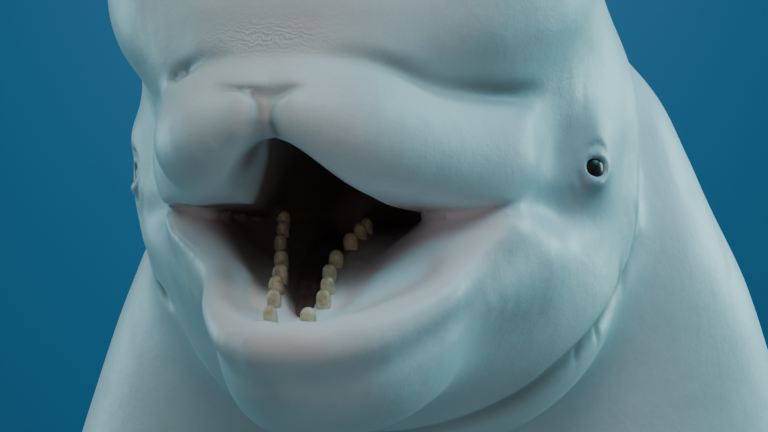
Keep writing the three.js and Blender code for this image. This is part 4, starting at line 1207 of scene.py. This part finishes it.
def build_tongue(mat):
    rows = fin_table(np.array(TONGUE, float)[::-1], 60)
    rings = []
    for x, wide, high, z in rows:
        turn = 2 * np.pi * np.arange(48) / 48
        groove = 0.16 * high * np.exp(-((turn - np.pi / 2) / 0.25) ** 2)
        section = np.stack([
            np.full(48, x),
            row_middle(x) + wide * np.cos(turn),
            z + high * np.sin(turn) - groove,
        ], 1)
        rings.append(from_head(from_jaw(section)))
    return new_object("tongue_flesh", *loft(rings), mat)


def build_rod(name, y, entry, mat):
    foot = BASE_THICK + 0.3
    profile = [(FOOT_RADIUS - 3, foot), (FOOT_RADIUS, foot + 3)]
    for t in np.linspace(0, 1, 14):
        profile.append((FOOT_RADIUS - (FOOT_RADIUS - ROD_RADIUS) * smooth(0, 1, t),
                        foot + FOOT_RISE * (0.3 + 0.7 * t)))
    profile.append((ROD_RADIUS, entry + ROD_DEPTH - 4))
    rings = [ring(0, y, z, r, r, 72) for r, z in profile]
    return new_object(name, *loft(rings), mat)


# Build
skin = build_skin()
paint_skin(skin)
skin.data.materials.clear()
skin.data.materials.append(skin_material())
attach(skin, "root")
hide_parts("head", "lower_jaw", "neck", "chest", "belly", "rump", "tail_stock",
            "flipper_left", "flipper_right", "fluke_left", "fluke_right")

wet = eye_material()
for side, name in ((1, "eye_left"), (-1, "eye_right")):
    eye = build_eye(name.replace("eye_", "eyeball_"), side, wet)
    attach(eye, "root")
    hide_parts(name)

teeth = build_teeth(tooth_material())
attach(teeth, "root")

tongue = build_tongue(tongue_material())
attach(tongue, "root")
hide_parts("tongue")

steel = steel_material()
for name, (y, entry) in RODS.items():
    rod = build_rod(f"rod_{name}", y, entry, steel)
    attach(rod, "root")
    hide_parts(f"stand_rod_{name}")

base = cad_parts["stand_base"]
base.data.materials.clear()
base.data.materials.append(painted_material())


# Stage
def plain(name, colour, roughness):
    mat, _, _, shader = material(name)
    shader.inputs["Base Color"].default_value = colour
    shader.inputs["Roughness"].default_value = roughness
    return mat


def stage_plane(name, corners, mat):
    mesh = bpy.data.meshes.new(name)
    mesh.from_pydata(corners, [], [(0, 1, 2, 3)])
    obj = bpy.data.objects.new(name, mesh)
    bpy.context.scene.collection.objects.link(obj)
    mesh.materials.append(mat)
    return obj


# Metres: reach of the floor, and the backdrop's distance, half width, foot just clear of the floor and top
FLOOR_REACH = 40
WALL_Y, WALL_HALF, WALL_FOOT, WALL_TOP = 6, 12, 0.002, 11
stage_plane("floor", [
    (-FLOOR_REACH, -FLOOR_REACH, 0),
    (FLOOR_REACH, -FLOOR_REACH, 0),
    (FLOOR_REACH, FLOOR_REACH, 0),
    (-FLOOR_REACH, FLOOR_REACH, 0),
], plain("floor_pale", (0.52, 0.57, 0.60, 1), 0.8))
stage_plane("backdrop", [
    (-WALL_HALF, WALL_Y, WALL_FOOT),
    (WALL_HALF, WALL_Y, WALL_FOOT),
    (WALL_HALF, WALL_Y, WALL_TOP),
    (-WALL_HALF, WALL_Y, WALL_TOP),
], plain("backdrop_blue", (0.035, 0.21, 0.42, 1), 0.9))


def area_light(name, at, target, size, watts, colour):
    data = bpy.data.lights.new(name, "AREA")
    data.shape = "DISK"
    data.size = size
    data.energy = watts
    data.color = colour
    obj = bpy.data.objects.new(name, data)
    obj.location = at
    obj.rotation_euler = (Vector(target) - Vector(at)).to_track_quat("-Z", "Y").to_euler()
    bpy.context.scene.collection.objects.link(obj)


FACE = (-0.07, -0.95, 3.38)
CHEST = (0.2, -0.4, 2.9)
FLANK = (-0.3, -0.3, 2.7)
area_light("front", (0.0, -2.4, 6.0), FACE, 1.8, 26, (1.0, 0.82, 0.74))
area_light("fill", (0.1, -3.4, 5.6), FACE, 1.8, 20, (0.95, 1.0, 1.0))
area_light("eye_level", (0.0, -4.2, 3.4), FACE, 1.6, 10, (1.0, 0.90, 0.84))
area_light("key", (2.9, -1.0, 5.8), FACE, 1.8, 91, (0.18, 0.80, 1.0))
area_light("behind", (3.6, 1.6, 4.0), CHEST, 1.8, 96, (0.52, 1.0, 1.0))
area_light("left", (-2.9, -1.0, 5.8), FACE, 1.8, 35, (0.54, 0.95, 1.0))
area_light("left_behind", (-3.6, 1.4, 3.6), FLANK, 1.8, 50, (0.40, 0.86, 1.0))
area_light("wall", (0.0, 3.0, 5.6), (0, 6, 3.4), 3.0, 60, (1.0, 1.0, 1.0))

world = bpy.data.worlds.new("studio")
world.use_nodes = True
world.node_tree.nodes["Background"].inputs[0].default_value = (0.08, 0.30, 0.40, 1)
world.node_tree.nodes["Background"].inputs[1].default_value = 0.03
bpy.context.scene.world = world

# Camera: level, looking along +Y at the face. The photograph's width and its scale at a distance of one
# are in pixels, and the sensor's width and the camera's place from the head are in millimetres.
PHOTO_WIDTH, PHOTO_SCALE = 768, 1853
SENSOR_WIDTH = 36
CAMERA_OFFSET = np.array([14, -1700, -40])
camera_data = bpy.data.cameras.new("camera")
camera_data.sensor_fit = "HORIZONTAL"
camera_data.sensor_width = SENSOR_WIDTH
camera_data.lens = SENSOR_WIDTH * PHOTO_SCALE / PHOTO_WIDTH
camera_data.clip_end = 200
camera = bpy.data.objects.new("camera", camera_data)
camera.location = ((HEAD + CAMERA_OFFSET) / 1000).tolist()
camera.rotation_euler = (math.radians(90), 0, 0)
bpy.context.scene.collection.objects.link(camera)
bpy.context.scene.camera = camera
